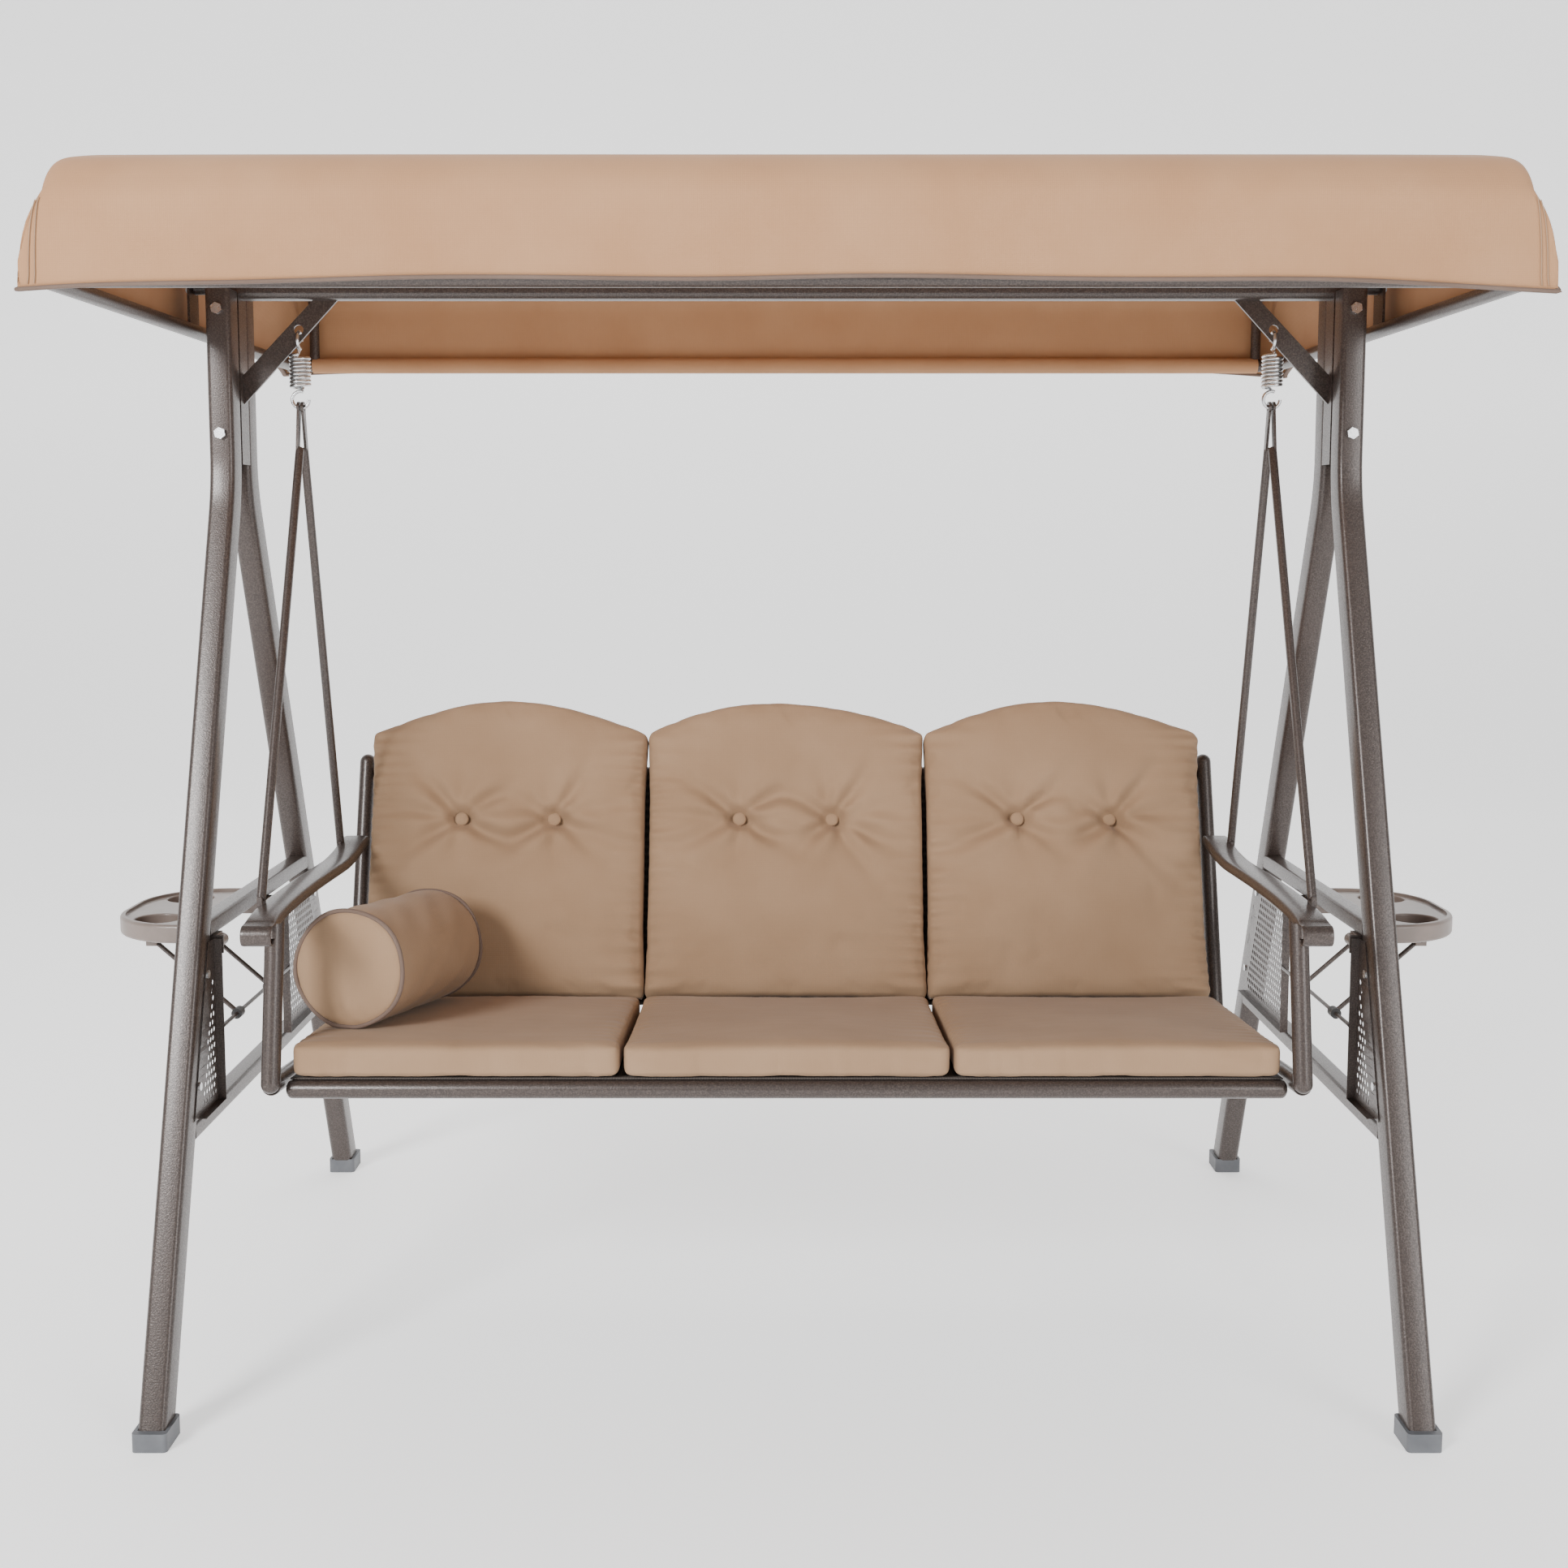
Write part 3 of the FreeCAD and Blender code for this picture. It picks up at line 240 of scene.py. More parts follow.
# ---------------------------------------------------------------- leg tubes
# Four bent rectangular steel tubes.  Each runs up vertically beside the post and splays to its foot below one
# bend; the corners of the tube are rolled round and the paint is a pebbled dark brown hammertone.
def hammertone(name="hammertone_paint"):
    """Dark brown powder coat that shrinks into glossy pebbles two or three millimetres across."""
    paint = Finish(name)
    where = paint.place()
    pebble = paint.noise(where, 470.0, 1.5, 0.45)
    grain = paint.noise(where, 900.0, 2.0, 0.6)
    broad = paint.noise(where, 7.0, 2.0, 0.5)
    flake = paint.between(pebble + grain * 0.35, 0.56, 0.98)
    colour = paint.mix(flake, (0.034, 0.024, 0.020, 1.0), (0.092, 0.070, 0.061, 1.0))
    colour = paint.mix(paint.between(broad, 0.35, 0.7) * 0.25, colour, (0.058, 0.039, 0.033, 1.0))
    normal = paint.bump(pebble, 0.55, 0.0006)
    return paint.coat(Base_Color=colour, Metallic=0.25, Roughness=0.40 - flake * 0.14 + grain * 0.05,
                      Coat_Weight=0.30, Coat_Roughness=0.20, Normal=normal)


paint = hammertone()
LEG_WIDE, LEG_DEEP, LEG_CORNER = 0.038, 0.048, 0.008
LEG_X, LEG_TOP_Y, KINK_Z, LEG_TOP_Z, FOOT_Z = 0.860, 0.044, 1.305, 1.602, 0.018
FRONT_FOOT, REAR_FOOT = 0.500, 0.614


def round_corners(wide, deep, radius, steps=6):
    """A closed rectangle wide by deep whose corners are quarter circles of the radius."""
    turn = np.linspace(0, math.pi / 2, steps)
    arc = np.stack([np.cos(turn), np.sin(turn)], 1) * radius
    corners = []
    for k, (sx, sy) in enumerate(((1, 1), (-1, 1), (-1, -1), (1, -1))):
        c, s = math.cos(k * math.pi / 2), math.sin(k * math.pi / 2)
        spun = arc @ np.array([[c, s], [-s, c]])
        corners.append(spun + np.array([sx * (wide / 2 - radius), sy * (deep / 2 - radius)]))
    return np.concatenate(corners)


def smooth_path(points, radii, steps=10):
    """A polyline whose inner corners are replaced by quadratic blends starting radii[k] before each corner."""
    points = np.asarray(points, dtype=float)
    path = [points[0]]
    for k in range(1, len(points) - 1):
        back = points[k - 1] - points[k]
        ahead = points[k + 1] - points[k]
        a = points[k] + back / np.linalg.norm(back) * radii[k - 1]
        b = points[k] + ahead / np.linalg.norm(ahead) * radii[k - 1]
        t = np.linspace(0, 1, steps)[:, None]
        path.extend((1 - t) ** 2 * a + 2 * t * (1 - t) * points[k] + t ** 2 * b)
    path.append(points[-1])
    return np.asarray(path)


def carried(name, profile, path, across=(1.0, 0.0, 0.0), ends=True, sharp=40.0):
    """A bar: the closed profile carried along a path.

    At each point the profile's first axis is `across` made square to the path's direction, and its second is
    the cross product of the direction with the first.
    """
    path = np.asarray(path, dtype=float)
    way = np.gradient(path, axis=0)
    way /= np.linalg.norm(way, axis=1)[:, None]
    first = np.array(across, dtype=float) - (way @ np.array(across, dtype=float))[:, None] * way
    first /= np.linalg.norm(first, axis=1)[:, None]
    second = np.cross(way, first)
    grid = (path[:, None, :] + profile[None, :, 0, None] * first[:, None, :]
            + profile[None, :, 1, None] * second[:, None, :])
    return surface(name, grid, wrap=True, ends=ends, sharp=sharp)


def ring(radius, count=20):
    """A circle of points."""
    turn = np.arange(count) * TAU / count
    return np.stack([np.cos(turn), np.sin(turn)], 1) * radius


def leg_y(front, height):
    """The Y of a leg's centre line at a height below the bend: a straight line from the bend to the foot."""
    foot = FRONT_FOOT if front else REAR_FOOT
    return (-1 if front else 1) * (foot + (LEG_TOP_Y - foot) * height / KINK_Z)


def fit(piece, material, body, slot, *nodes_replaced):
    """Dresses a new piece, attaches it to its body and hides the CAD nodes it stands for; the slot of its finish is
    not used.
    """
    dress(piece, material)
    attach(piece, body)
    if nodes_replaced:
        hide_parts(*nodes_replaced)
    return piece


for side_name, side in SIDES:
    for end_name, front in (("front", True), ("rear", False)):
        step = -1 if front else 1
        x = side * LEG_X
        path = smooth_path([(x, leg_y(front, FOOT_Z), FOOT_Z), (x, step * LEG_TOP_Y, KINK_Z),
                            (x, step * LEG_TOP_Y, LEG_TOP_Z)], [0.05])
        leg = carried("leg_tube_%s_%s" % (end_name, side_name), round_corners(LEG_WIDE, LEG_DEEP, LEG_CORNER), path)
        fit(leg, paint, "frame", "frame_paint", "%s_leg_%s" % (end_name, side_name))


# ---------------------------------------------------------------- foot caps
# Grey polypropylene cups pushed over the ends of the legs, with a fine moulded texture.
def moulded(name, dark, light, roughness, pebble=1600.0, depth=0.00008, coat=0.0):
    """Moulded plastic: two close colours in soft clouds, over a fine sparked texture."""
    plastic = Finish(name)
    where = plastic.place()
    cloud = plastic.noise(where, 28.0, 3.0, 0.55)
    spark = plastic.noise(where, pebble, 2.0, 0.6)
    colour = plastic.mix(plastic.between(cloud, 0.3, 0.7), dark, light)
    return plastic.coat(Base_Color=colour, Roughness=roughness + spark * 0.12, Coat_Weight=coat,
                        Normal=plastic.bump(spark, 0.5, depth))


cap_plastic = moulded("cap_plastic", (0.095, 0.100, 0.110, 1.0), (0.135, 0.140, 0.152, 1.0), 0.45)
dress(nodes["foot_caps"], cap_plastic)


# ---------------------------------------------------------------- beam, posts and braces
# The beam is a rounded square tube welded between two short posts; flat bars brace it and carry the springs.
BEAM_Z, BEAM_SIDE, BEAM_END = 1.612, 0.040, 0.841
beam = carried("beam_tube", round_corners(BEAM_SIDE, BEAM_SIDE, 0.010),
               np.array([(-BEAM_END, 0, BEAM_Z), (-0.3, 0, BEAM_Z), (0.3, 0, BEAM_Z), (BEAM_END, 0, BEAM_Z)]),
               across=(0.0, 1.0, 0.0))
fit(beam, paint, "frame", "frame_paint", "crossbeam")
for name in ("post_left", "post_right", "brace_left", "brace_right", "hinge_plates"):
    dress(nodes[name], paint)

# Rails between the legs: rounded rectangular tubes cut to the slope of the legs.
RAIL_WIDE, RAIL_HIGH, RAIL_X = 0.030, 0.025, 0.856
for side_name, side in SIDES:
    for level, height in (("upper", 0.659), ("lower", 0.385)):
        start = leg_y(True, height) + LEG_DEEP / 2 - 0.004
        end = leg_y(False, height) - LEG_DEEP / 2 + 0.004
        rail = carried("%s_side_rail_%s" % (level, side_name), round_corners(RAIL_WIDE, RAIL_HIGH, 0.005),
                       np.array([(side * RAIL_X, start, height), (side * RAIL_X, 0.0, height),
                                 (side * RAIL_X, end, height)]))
        fit(rail, paint, "frame", "frame_paint", "%s_rail_%s" % (level, side_name))


# ---------------------------------------------------------------- perforated panels
# Pressed sheet between each leg and the open middle of the side frame: staggered round holes, an inward
# flange on the open edge and another along the bottom, and a plain strip bolted to the leg.
SHEET, PITCH, HOLE = 0.0012, 0.0115, 0.0041
PANEL_LOW, PANEL_HIGH, FLANGE, PANEL_MARGIN, HOLE_INSET = 0.4015, 0.6425, 0.013, 0.010, 0.006
OPEN_FRONT, OPEN_REAR, LAP = -0.242, 0.125, 0.018


def punched_cells(low_y, low_z, wide, high, radius):
    """One square cell with an eight-sided hole: eight quads from the square's border to the hole's rim."""
    turn = np.arange(8) * math.pi / 4
    rim = np.stack([np.cos(turn), np.sin(turn)], 1) * radius
    border = np.stack([np.clip(np.cos(turn) * 2, -1, 1) * wide / 2, np.clip(np.sin(turn) * 2, -1, 1) * high / 2], 1)
    centres = np.stack([low_y + wide / 2, low_z + high / 2], -1)
    outer = centres[:, None, :] + border[None]
    inner = centres[:, None, :] + rim[None]
    return np.concatenate([outer, inner], axis=1)


def merged(mesh, apart, others=(), outwards=True):
    """Adds other pieces' meshes to a mesh, merges points nearer than apart, and turns the faces outwards."""
    whole = bmesh.new()
    whole.from_mesh(mesh)
    for other in others:
        whole.from_mesh(other.data)
    bmesh.ops.remove_doubles(whole, verts=whole.verts, dist=apart)
    if outwards:
        bmesh.ops.recalc_face_normals(whole, faces=whole.faces)
    whole.to_mesh(mesh)
    whole.free()


def punched_sheet(name, edge, front, side):
    """The whole panel as one mesh: rows of punched cells, plain quads out to the leg and round the edge, a flange.

    Every other row of holes is set over by half a pitch.  The holes stop PANEL_MARGIN short of the leg, and the
    sheet runs on behind the leg by LAP.
    """
    x = side * (LEG_X - LEG_WIDE / 2)
    step = -1 if front else 1
    lap = step * (LAP - LEG_DEEP / 2)
    rows = int((PANEL_HIGH - PANEL_LOW - 2 * PANEL_MARGIN) / PITCH)
    row_high = (PANEL_HIGH - PANEL_LOW - 2 * PANEL_MARGIN) / rows
    around = np.arange(8)
    cell = np.stack([around, (around + 1) % 8, (around + 1) % 8 + 8, around + 8], 1)
    points, faces = [], []

    def add(corners, loops=((0, 1, 2, 3),)):
        """Adds points in Y and Z, and the faces between them, numbered from the first of these points."""
        faces.append(np.asarray(loops) + sum(len(p) for p in points))
        points.append(np.asarray(corners))

    for r in range(rows):
        z0 = PANEL_LOW + PANEL_MARGIN + r * row_high
        z1 = z0 + row_high
        leg_edge = leg_y(front, z1) - step * (LEG_DEEP / 2 + PANEL_MARGIN)
        start = edge + step * (HOLE_INSET + (PITCH / 2 if r % 2 else 0.0))
        count = max(0, int(abs(leg_edge - start) / PITCH))
        if count:
            firsts = start + step * PITCH * np.arange(count)
            lows = firsts if step > 0 else firsts - PITCH
            add(punched_cells(lows, np.full(count, z0), PITCH, row_high, HOLE).reshape(-1, 2),
                (cell[None] + 16 * np.arange(count)[:, None, None]).reshape(-1, 4))
        far = start + step * PITCH * count
        add([(edge, z0), (start, z0), (start, z1), (edge, z1)])
        add([(far, z0), (leg_y(front, z0) + lap, z0), (leg_y(front, z1) + lap, z1), (far, z1)])
    for z0, z1 in ((PANEL_LOW, PANEL_LOW + PANEL_MARGIN), (PANEL_HIGH - PANEL_MARGIN, PANEL_HIGH)):
        add([(edge, z0), (leg_y(front, z0) + lap, z0), (leg_y(front, z1) + lap, z1), (edge, z1)])
    flat = np.concatenate(points)
    quads = np.concatenate(faces)
    verts = np.stack([np.full(len(flat), x - side * SHEET), flat[:, 0], flat[:, 1]], -1)
    inward = -side * FLANGE
    low_end = leg_y(front, PANEL_LOW) - step * LEG_DEEP / 2
    flange = np.array([
        (x, edge, PANEL_LOW), (x + inward, edge, PANEL_LOW), (x + inward, edge, PANEL_HIGH), (x, edge, PANEL_HIGH),
        (x, low_end, PANEL_LOW), (x + inward, low_end, PANEL_LOW)])
    base = len(verts)
    extra = np.array([(0, 1, 2, 3), (4, 5, 1, 0)]) + base
    verts = np.concatenate([verts, flange])
    mesh = bpy.data.meshes.new(name)
    mesh.from_pydata(verts.tolist(), [], np.concatenate([quads, extra]).tolist())
    merged(mesh, 1e-5)
    piece = bpy.data.objects.new(name, mesh)
    bpy.context.collection.objects.link(piece)
    wall = piece.modifiers.new("sheet", "SOLIDIFY")
    wall.thickness = SHEET * 0.8
    wall.offset = 0.0
    return piece


for side_name, side in SIDES:
    for end_name, front, edge in (("front", True, OPEN_FRONT), ("rear", False, OPEN_REAR)):
        panel = punched_sheet("punched_panel_%s_%s" % (end_name, side_name), edge, front, side)
        fit(panel, paint, "frame", "frame_paint", "panel_%s_%s" % (end_name, side_name))


# ---------------------------------------------------------------- bolts and springs
# Zinc-plated fasteners and coil springs: bright, slightly blue, with faint drawing marks.
def zinc_plate(name="zinc_plate"):
    """Bright zinc with soft brush marks and slightly duller patches."""
    zinc = Finish(name)
    where = zinc.place()
    patch = zinc.noise(where, 90.0, 3.0, 0.6)
    marks = zinc.noise(zinc.place("Object", (1.0, 1.0, 14.0)), 500.0, 2.0, 0.5)
    colour = zinc.mix(zinc.between(patch, 0.3, 0.75), (0.78, 0.79, 0.80, 1.0), (0.55, 0.56, 0.57, 1.0))
    return zinc.coat(Base_Color=colour, Metallic=1.0, Roughness=0.20 + patch * 0.16,
                     Normal=zinc.bump(marks, 0.15, 0.0002))


zinc = zinc_plate()
for name in ("apex_bolts", "panel_bolts", "hanger_bolts", "canopy_pivots", "hinge_pins"):
    dress(nodes[name], zinc)

# Each coil hangs from the brace by its upper hook and carries the seat by its lower hook; here it is the part's
# spring copied with doubled points merged, plated in zinc and baked in place.
for side_name, side in SIDES:
    coil_mesh = nodes["spring_" + side_name].data.copy()
    merged(coil_mesh, 1e-6, outwards=False)
    coil = bpy.data.objects.new("coil_spring_" + side_name, coil_mesh)
    bpy.context.collection.objects.link(coil)
    dress(coil, zinc)
    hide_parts("spring_" + side_name)
    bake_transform(coil)


# ---------------------------------------------------------------- hangers
# Thin tubes pressed flat at both ends: one runs to the front of the seat and one to the rear on each side.
for side_name, side in SIDES:
    for end_name in ("front", "rear"):
        dress(nodes["hanger_%s_%s" % (end_name, side_name)], paint)


# ---------------------------------------------------------------- seat frame
# Round tubes: two long rails with closed round ends, a bent loop under each arm, and a rail across the back.
RAIL_R = 0.0135


def capped_tube(name, start, end, radius, across=(0.0, 0.0, 1.0)):
    """A straight round tube with domed ends: the radius follows a quarter circle over the last stretch."""
    start, end = np.array(start, dtype=float), np.array(end, dtype=float)
    length = np.linalg.norm(end - start)
    turn = np.linspace(0.06, math.pi / 2, 7)
    depth = radius * 0.7
    stations = np.concatenate([depth * (1 - np.cos(turn)), [length / 2], length - depth * (1 - np.cos(turn))[::-1]])
    swell = radius * np.concatenate([np.sin(turn), [1.0], np.sin(turn)[::-1]])
    way = (end - start) / length
    first = np.cross(way, np.array(across))
    first /= np.linalg.norm(first)
    second = np.cross(way, first)
    profile = ring(1.0, 28)
    path = start + stations[:, None] * way
    spokes = profile[None, :, 0, None] * first + profile[None, :, 1, None] * second
    return surface(name, path[:, None, :] + swell[:, None, None] * spokes, wrap=True, ends=True)


SEAT_END, SEAT_Z, REAR_Z, FRONT_Y, REAR_Y = 0.711, 0.448, 0.408, -0.345, 0.142
FALL = (SEAT_Z - REAR_Z) / (REAR_Y - FRONT_Y)
for name, node, y, z in (("front_rail", "seat_front_rail", FRONT_Y, SEAT_Z),
                         ("rear_rail", "seat_rear_rail", REAR_Y, REAR_Z)):
    rail = capped_tube(name, (-SEAT_END, y, z), (SEAT_END, y, z), RAIL_R)
    fit(rail, paint, "seat", "frame_paint", node)
for name in ("seat_side_left", "seat_side_right", "back_top_rail"):
    dress(nodes[name], paint)


# ---------------------------------------------------------------- armrests
# Pressed steel channels: the top rises from a rolled front edge in a long S, and the long edges turn down.
ARM_X, ARM_WIDE, ARM_Z, ARM_LIP = 0.725, 0.040, 0.690, 0.013
ARM_LINE = np.array([(-0.418, -0.004), (-0.408, 0.011), (-0.380, 0.017), (-0.330, 0.021), (-0.250, 0.023),
                     (-0.150, 0.023), (-0.050, 0.021), (0.040, 0.019), (0.110, 0.025), (0.150, 0.033),
                     (0.185, 0.035)])


def channel(name, side):
    """The arm's line is a smooth curve through its points, ending in a full roll of 12 mm radius at the front.

    Across the arm the section is flat with 4 mm rounded shoulders and lips turned down by ARM_LIP; the lips
    fade out into the roll.
    """
    along = np.linspace(0, len(ARM_LINE) - 1, 90)
    index = np.arange(len(ARM_LINE))
    y = np.interp(along, index, ARM_LINE[:, 0])
    z = np.interp(along, index, ARM_LINE[:, 1])
    kernel = np.hanning(13)
    kernel /= kernel.sum()
    y = np.convolve(np.pad(y, 6, mode="edge"), kernel, mode="valid")
    z = np.convolve(np.pad(z, 6, mode="edge"), kernel, mode="valid")
    turn = np.linspace(math.radians(-150), math.radians(88), 22)
    roll_y, roll_z = -0.418, -0.005
    roll = np.stack([roll_y - 0.012 * np.cos(turn), roll_z + 0.0135 * np.sin(turn)], 1)
    keep = y > roll_y + 0.012
    line = np.concatenate([roll, np.stack([y[keep], z[keep]], 1)])
    way = np.gradient(line, axis=0)
    way /= np.linalg.norm(way, axis=1)[:, None]
    normal = np.stack([-way[:, 1], way[:, 0]], 1)
    lip = ARM_LIP * np.clip((line[:, 0] - roll_y - 0.006) / 0.03, 0.0, 1.0)
    shoulder = np.array([(0.5, -1.0), (0.5, -0.35), (0.47, -0.08), (0.40, 0.0), (0.0, 0.02), (-0.40, 0.0),
                         (-0.47, -0.08), (-0.5, -0.35), (-0.5, -1.0)])
    x = side * ARM_X + shoulder[None, :, 0] * ARM_WIDE
    drop = shoulder[None, :, 1] * np.maximum(lip[:, None], 0.0006)
    yy = line[:, None, 0] + drop * normal[:, None, 0]
    zz = ARM_Z + line[:, None, 1] + drop * normal[:, None, 1]
    grid = np.stack([np.broadcast_to(x, yy.shape), yy, zz], -1)
    piece = surface(name, grid, sharp=70.0)
    wall = piece.modifiers.new("sheet", "SOLIDIFY")
    wall.thickness = 0.0022
    wall.offset = 0.0
    return piece


for side_name, side in SIDES:
    arm = channel("arm_channel_" + side_name, side)
    fit(arm, paint, "seat", "frame_paint", "armrest_" + side_name)


# ---------------------------------------------------------------- slings
# Dark woven mesh stretched between the tubes; the cushions lie on it.
def mesh_cloth(name="sling_cloth"):
    """Coarse dark mesh: two crossed sets of threads two millimetres apart."""
    cloth = Finish(name)
    where = cloth.place()
    one = cloth.node("ShaderNodeTexWave", {"bands_direction": "X"}, {"Vector": where, "Scale": 80.0})
    two = cloth.node("ShaderNodeTexWave", {"bands_direction": "Y"}, {"Vector": where, "Scale": 80.0})
    weave = one.maths("MAXIMUM", two)
    colour = cloth.mix(weave, (0.022, 0.018, 0.016, 1.0), (0.075, 0.062, 0.054, 1.0))
    return cloth.coat(Base_Color=colour, Roughness=0.8, Normal=cloth.bump(weave, 0.4, 0.0005))


sling = mesh_cloth()


def stretched(name, low_edge, high_edge, half, sag, wall):
    """A sheet between two edges that sags by a parabola between them, and a little less at its ends."""
    t = np.linspace(0, 1, 25)[:, None]
    x = np.linspace(-half, half, 61)[None, :]
    low, high = np.array(low_edge), np.array(high_edge)
    dip = 4 * sag * t * (1 - t) * (1 - 0.35 * (x / half) ** 2)
    y = low[0] + (high[0] - low[0]) * t
    z = low[1] + (high[1] - low[1]) * t
    length = math.hypot(*(high - low))
    out = np.array([(high - low)[1], -(high - low)[0]]) / length
    grid = np.stack([np.broadcast_to(x, dip.shape), y + dip * out[0], z + dip * out[1]], -1)
    piece = surface(name, grid)
    cloth = piece.modifiers.new("cloth", "SOLIDIFY")
    cloth.thickness = wall
    return piece


LEAN = math.radians(18.0)


def back_point(along, out):
    """A point of the leaning back in Y and Z: along it from the rear rail, and out from it towards the sitter."""
    return np.array([REAR_Y + along * math.sin(LEAN) - out * math.cos(LEAN),
                     REAR_Z + along * math.cos(LEAN) + out * math.sin(LEAN)])


deck = stretched("seat_cloth", (FRONT_Y - 0.004, SEAT_Z + 0.0150), (REAR_Y, REAR_Z + 0.0150), 0.704, 0.003, 0.0016)
back = stretched("back_cloth", back_point(0.034, 0.0145), back_point(0.437, 0.0145), 0.704, 0.002, 0.0016)
for piece, node, size in ((deck, "seat_sling", (1.408, 0.500)), (back, "back_sling", (1.408, 0.405))):
    fit(piece, sling, "seat", "sling_mesh", node)


# ---------------------------------------------------------------- cushions
# Loose polyester covers filled with foam.  The seat pads are boxed; the back pads have an arched top and two
# covered buttons pulled through them, from which the cloth gathers.
def woven(name, dark, light, cord=0.00055):
    """Plain-woven polyester: crossed threads cord metres wide, soft tonal clouds and a slight sheen."""
    cloth = Finish(name)
    where = cloth.place()
    cloud = cloth.noise(where, 9.0, 3.0, 0.5)
    slub = cloth.noise(cloth.place("Object", (1.0, 1.0, 0.08)), 700.0, 2.0, 0.6)
    warp = cloth.node("ShaderNodeTexWave", {"bands_direction": "X"},
                      {"Vector": where, "Scale": 1.0 / (cord * TAU * 2), "Distortion": 0.6, "Detail Scale": 60.0})
    weft = cloth.node("ShaderNodeTexWave", {"bands_direction": "Z"},
                      {"Vector": where, "Scale": 1.0 / (cord * TAU * 2), "Distortion": 0.6, "Detail Scale": 60.0})
    weave = (warp + weft) * 0.5
    colour = cloth.mix(cloth.between(cloud, 0.3, 0.72), dark, light)
    colour = cloth.mix(weave * 0.08 + slub * 0.08, colour, (dark[0] * 0.55, dark[1] * 0.53, dark[2] * 0.50, 1.0))
    fine = cloth.bump(weave + slub * 0.4, 0.22, 0.0004)
    normal = cloth.bump(cloth.noise(where, 26.0, 3.0, 0.55), 0.16, 0.004, fine)
    return cloth.coat(Base_Color=colour, Roughness=0.86 + slub * 0.08, Sheen_Weight=0.08, Sheen_Roughness=0.4,
                      Normal=normal)


cushion_cloth = woven("cushion_cloth", (0.300, 0.186, 0.106, 1.0), (0.342, 0.218, 0.129, 1.0))
PAD_WIDE, PAD_GAP = 0.466, 0.469


def plan_box(wide, long, radius, count=48):
    """The outline of a boxed pad, from (-wide/2, 0) to (wide/2, long), evenly divided."""
    outline = round_corners(wide, long, radius, 8) + np.array([0.0, long / 2])
    return spaced(outline, count * 4)


def plan_arch(wide, side_high, top_high, count=48):
    """The outline of a back pad: straight foot and sides, and a top that bows up as a raised cosine."""
    x = np.linspace(wide / 2, -wide / 2, 60)
    crown = side_high + (top_high - side_high) * np.cos(math.pi * x / wide) ** 0.85
    top = np.stack([x, crown], 1)
    outline = np.concatenate([[(-wide / 2, 0.0), (wide / 2, 0.0)], top])
    return spaced(outline, count * 4)


def spaced(outline, count):
    """The same closed line with its points the same distance apart."""
    closed = np.concatenate([outline, outline[:1]])
    run = np.concatenate([[0], np.cumsum(np.linalg.norm(np.diff(closed, axis=0), axis=1))])
    at = np.linspace(0, run[-1], count, endpoint=False)
    return np.stack([np.interp(at, run, closed[:, 0]), np.interp(at, run, closed[:, 1])], 1)


def pad_form(name, outline, side, crown, edge):
    """A pad before it swells: a flat foot, a wall as high as side with quarter-round edges, and a domed face.

    Each row is the outline drawn in towards its centre.  Over the face the height is
    side + (crown - side) sin(q pi / 2), q running from the wall to the centre.
    """
    centre = outline.mean(axis=0)
    reach = outline - centre
    size = np.abs(reach).max(axis=0)
    turn = np.linspace(0, math.pi / 2, 5)
    q = np.linspace(0, 0.96, 13)[1:]
    trim = np.concatenate([edge * (1 - np.sin(turn)), edge * (1 - np.cos(turn))])
    walls = 1 - trim[:, None] / size[None, :]
    foot = np.array([0.2, 0.4, 0.6, 0.8])[:, None] * walls[:1]
    face = (1 - q)[:, None] * walls[-1:]
    scale = np.concatenate([foot, walls, face])
    height = np.concatenate([np.zeros(4), edge * (1 - np.cos(turn)), side - edge * (1 - np.sin(turn)),
                             side + (crown - side) * np.sin(q * math.pi / 2)])
    flat = centre + reach[None] * scale[:, None, :]
    grid = np.concatenate([flat, np.broadcast_to(height[:, None, None], flat.shape[:2] + (1,))], -1)
    return surface(name, grid, wrap=True, ends=True)


def points_of(mesh):
    """The mesh's vertices as an array."""
    flat = np.empty(len(mesh.vertices) * 3)
    mesh.vertices.foreach_get("co", flat)
    return flat.reshape(-1, 3)


def applied(piece):
    """The piece's mesh with every modifier worked in, as a new mesh, and the modifiers gone."""
    graph = bpy.context.evaluated_depsgraph_get()
    mesh = bpy.data.meshes.new_from_object(piece.evaluated_get(graph))
    piece.modifiers.clear()
    old = piece.data
    piece.data = mesh
    bpy.data.meshes.remove(old)
    return piece


def swell(piece, voxel, pressure, cap):
    """Remeshes the form and blows it up as cloth for twenty frames; no point ends further than cap from its start.

    A move of length m is eased to cap tanh(m / cap), and the whole is scaled back to the form's own size.
    """
    grain = piece.modifiers.new("grain", "REMESH")
    grain.mode = "VOXEL"
    grain.voxel_size = voxel
    applied(piece)
    start = points_of(piece.data)
    cloth = piece.modifiers.new("cover", "CLOTH")
    cloth.settings.use_pressure = True
    cloth.settings.uniform_pressure_force = pressure
    cloth.settings.quality = 5
    cloth.settings.mass = 0.3
    cloth.settings.tension_stiffness = 22.0
    cloth.settings.compression_stiffness = 22.0
    cloth.settings.shear_stiffness = 8.0
    cloth.settings.bending_stiffness = 1.2
    cloth.settings.effector_weights.gravity = 0.0
    cloth.point_cache.frame_start = 1
    cloth.point_cache.frame_end = 20
    for number in range(1, 21):
        bpy.context.scene.frame_set(number)
    applied(piece)
    bpy.context.scene.frame_set(1)
    moved = points_of(piece.data) - start
    length = np.linalg.norm(moved, axis=1)
    held = start + moved * (cap * np.tanh(length / cap) / np.maximum(length, 1e-9))[:, None]
    low, high = start.min(axis=0), start.max(axis=0)
    held = low + (held - held.min(axis=0)) / (held.max(axis=0) - held.min(axis=0)) * (high - low)
    piece.data.vertices.foreach_set("co", held.reshape(-1))
    return held


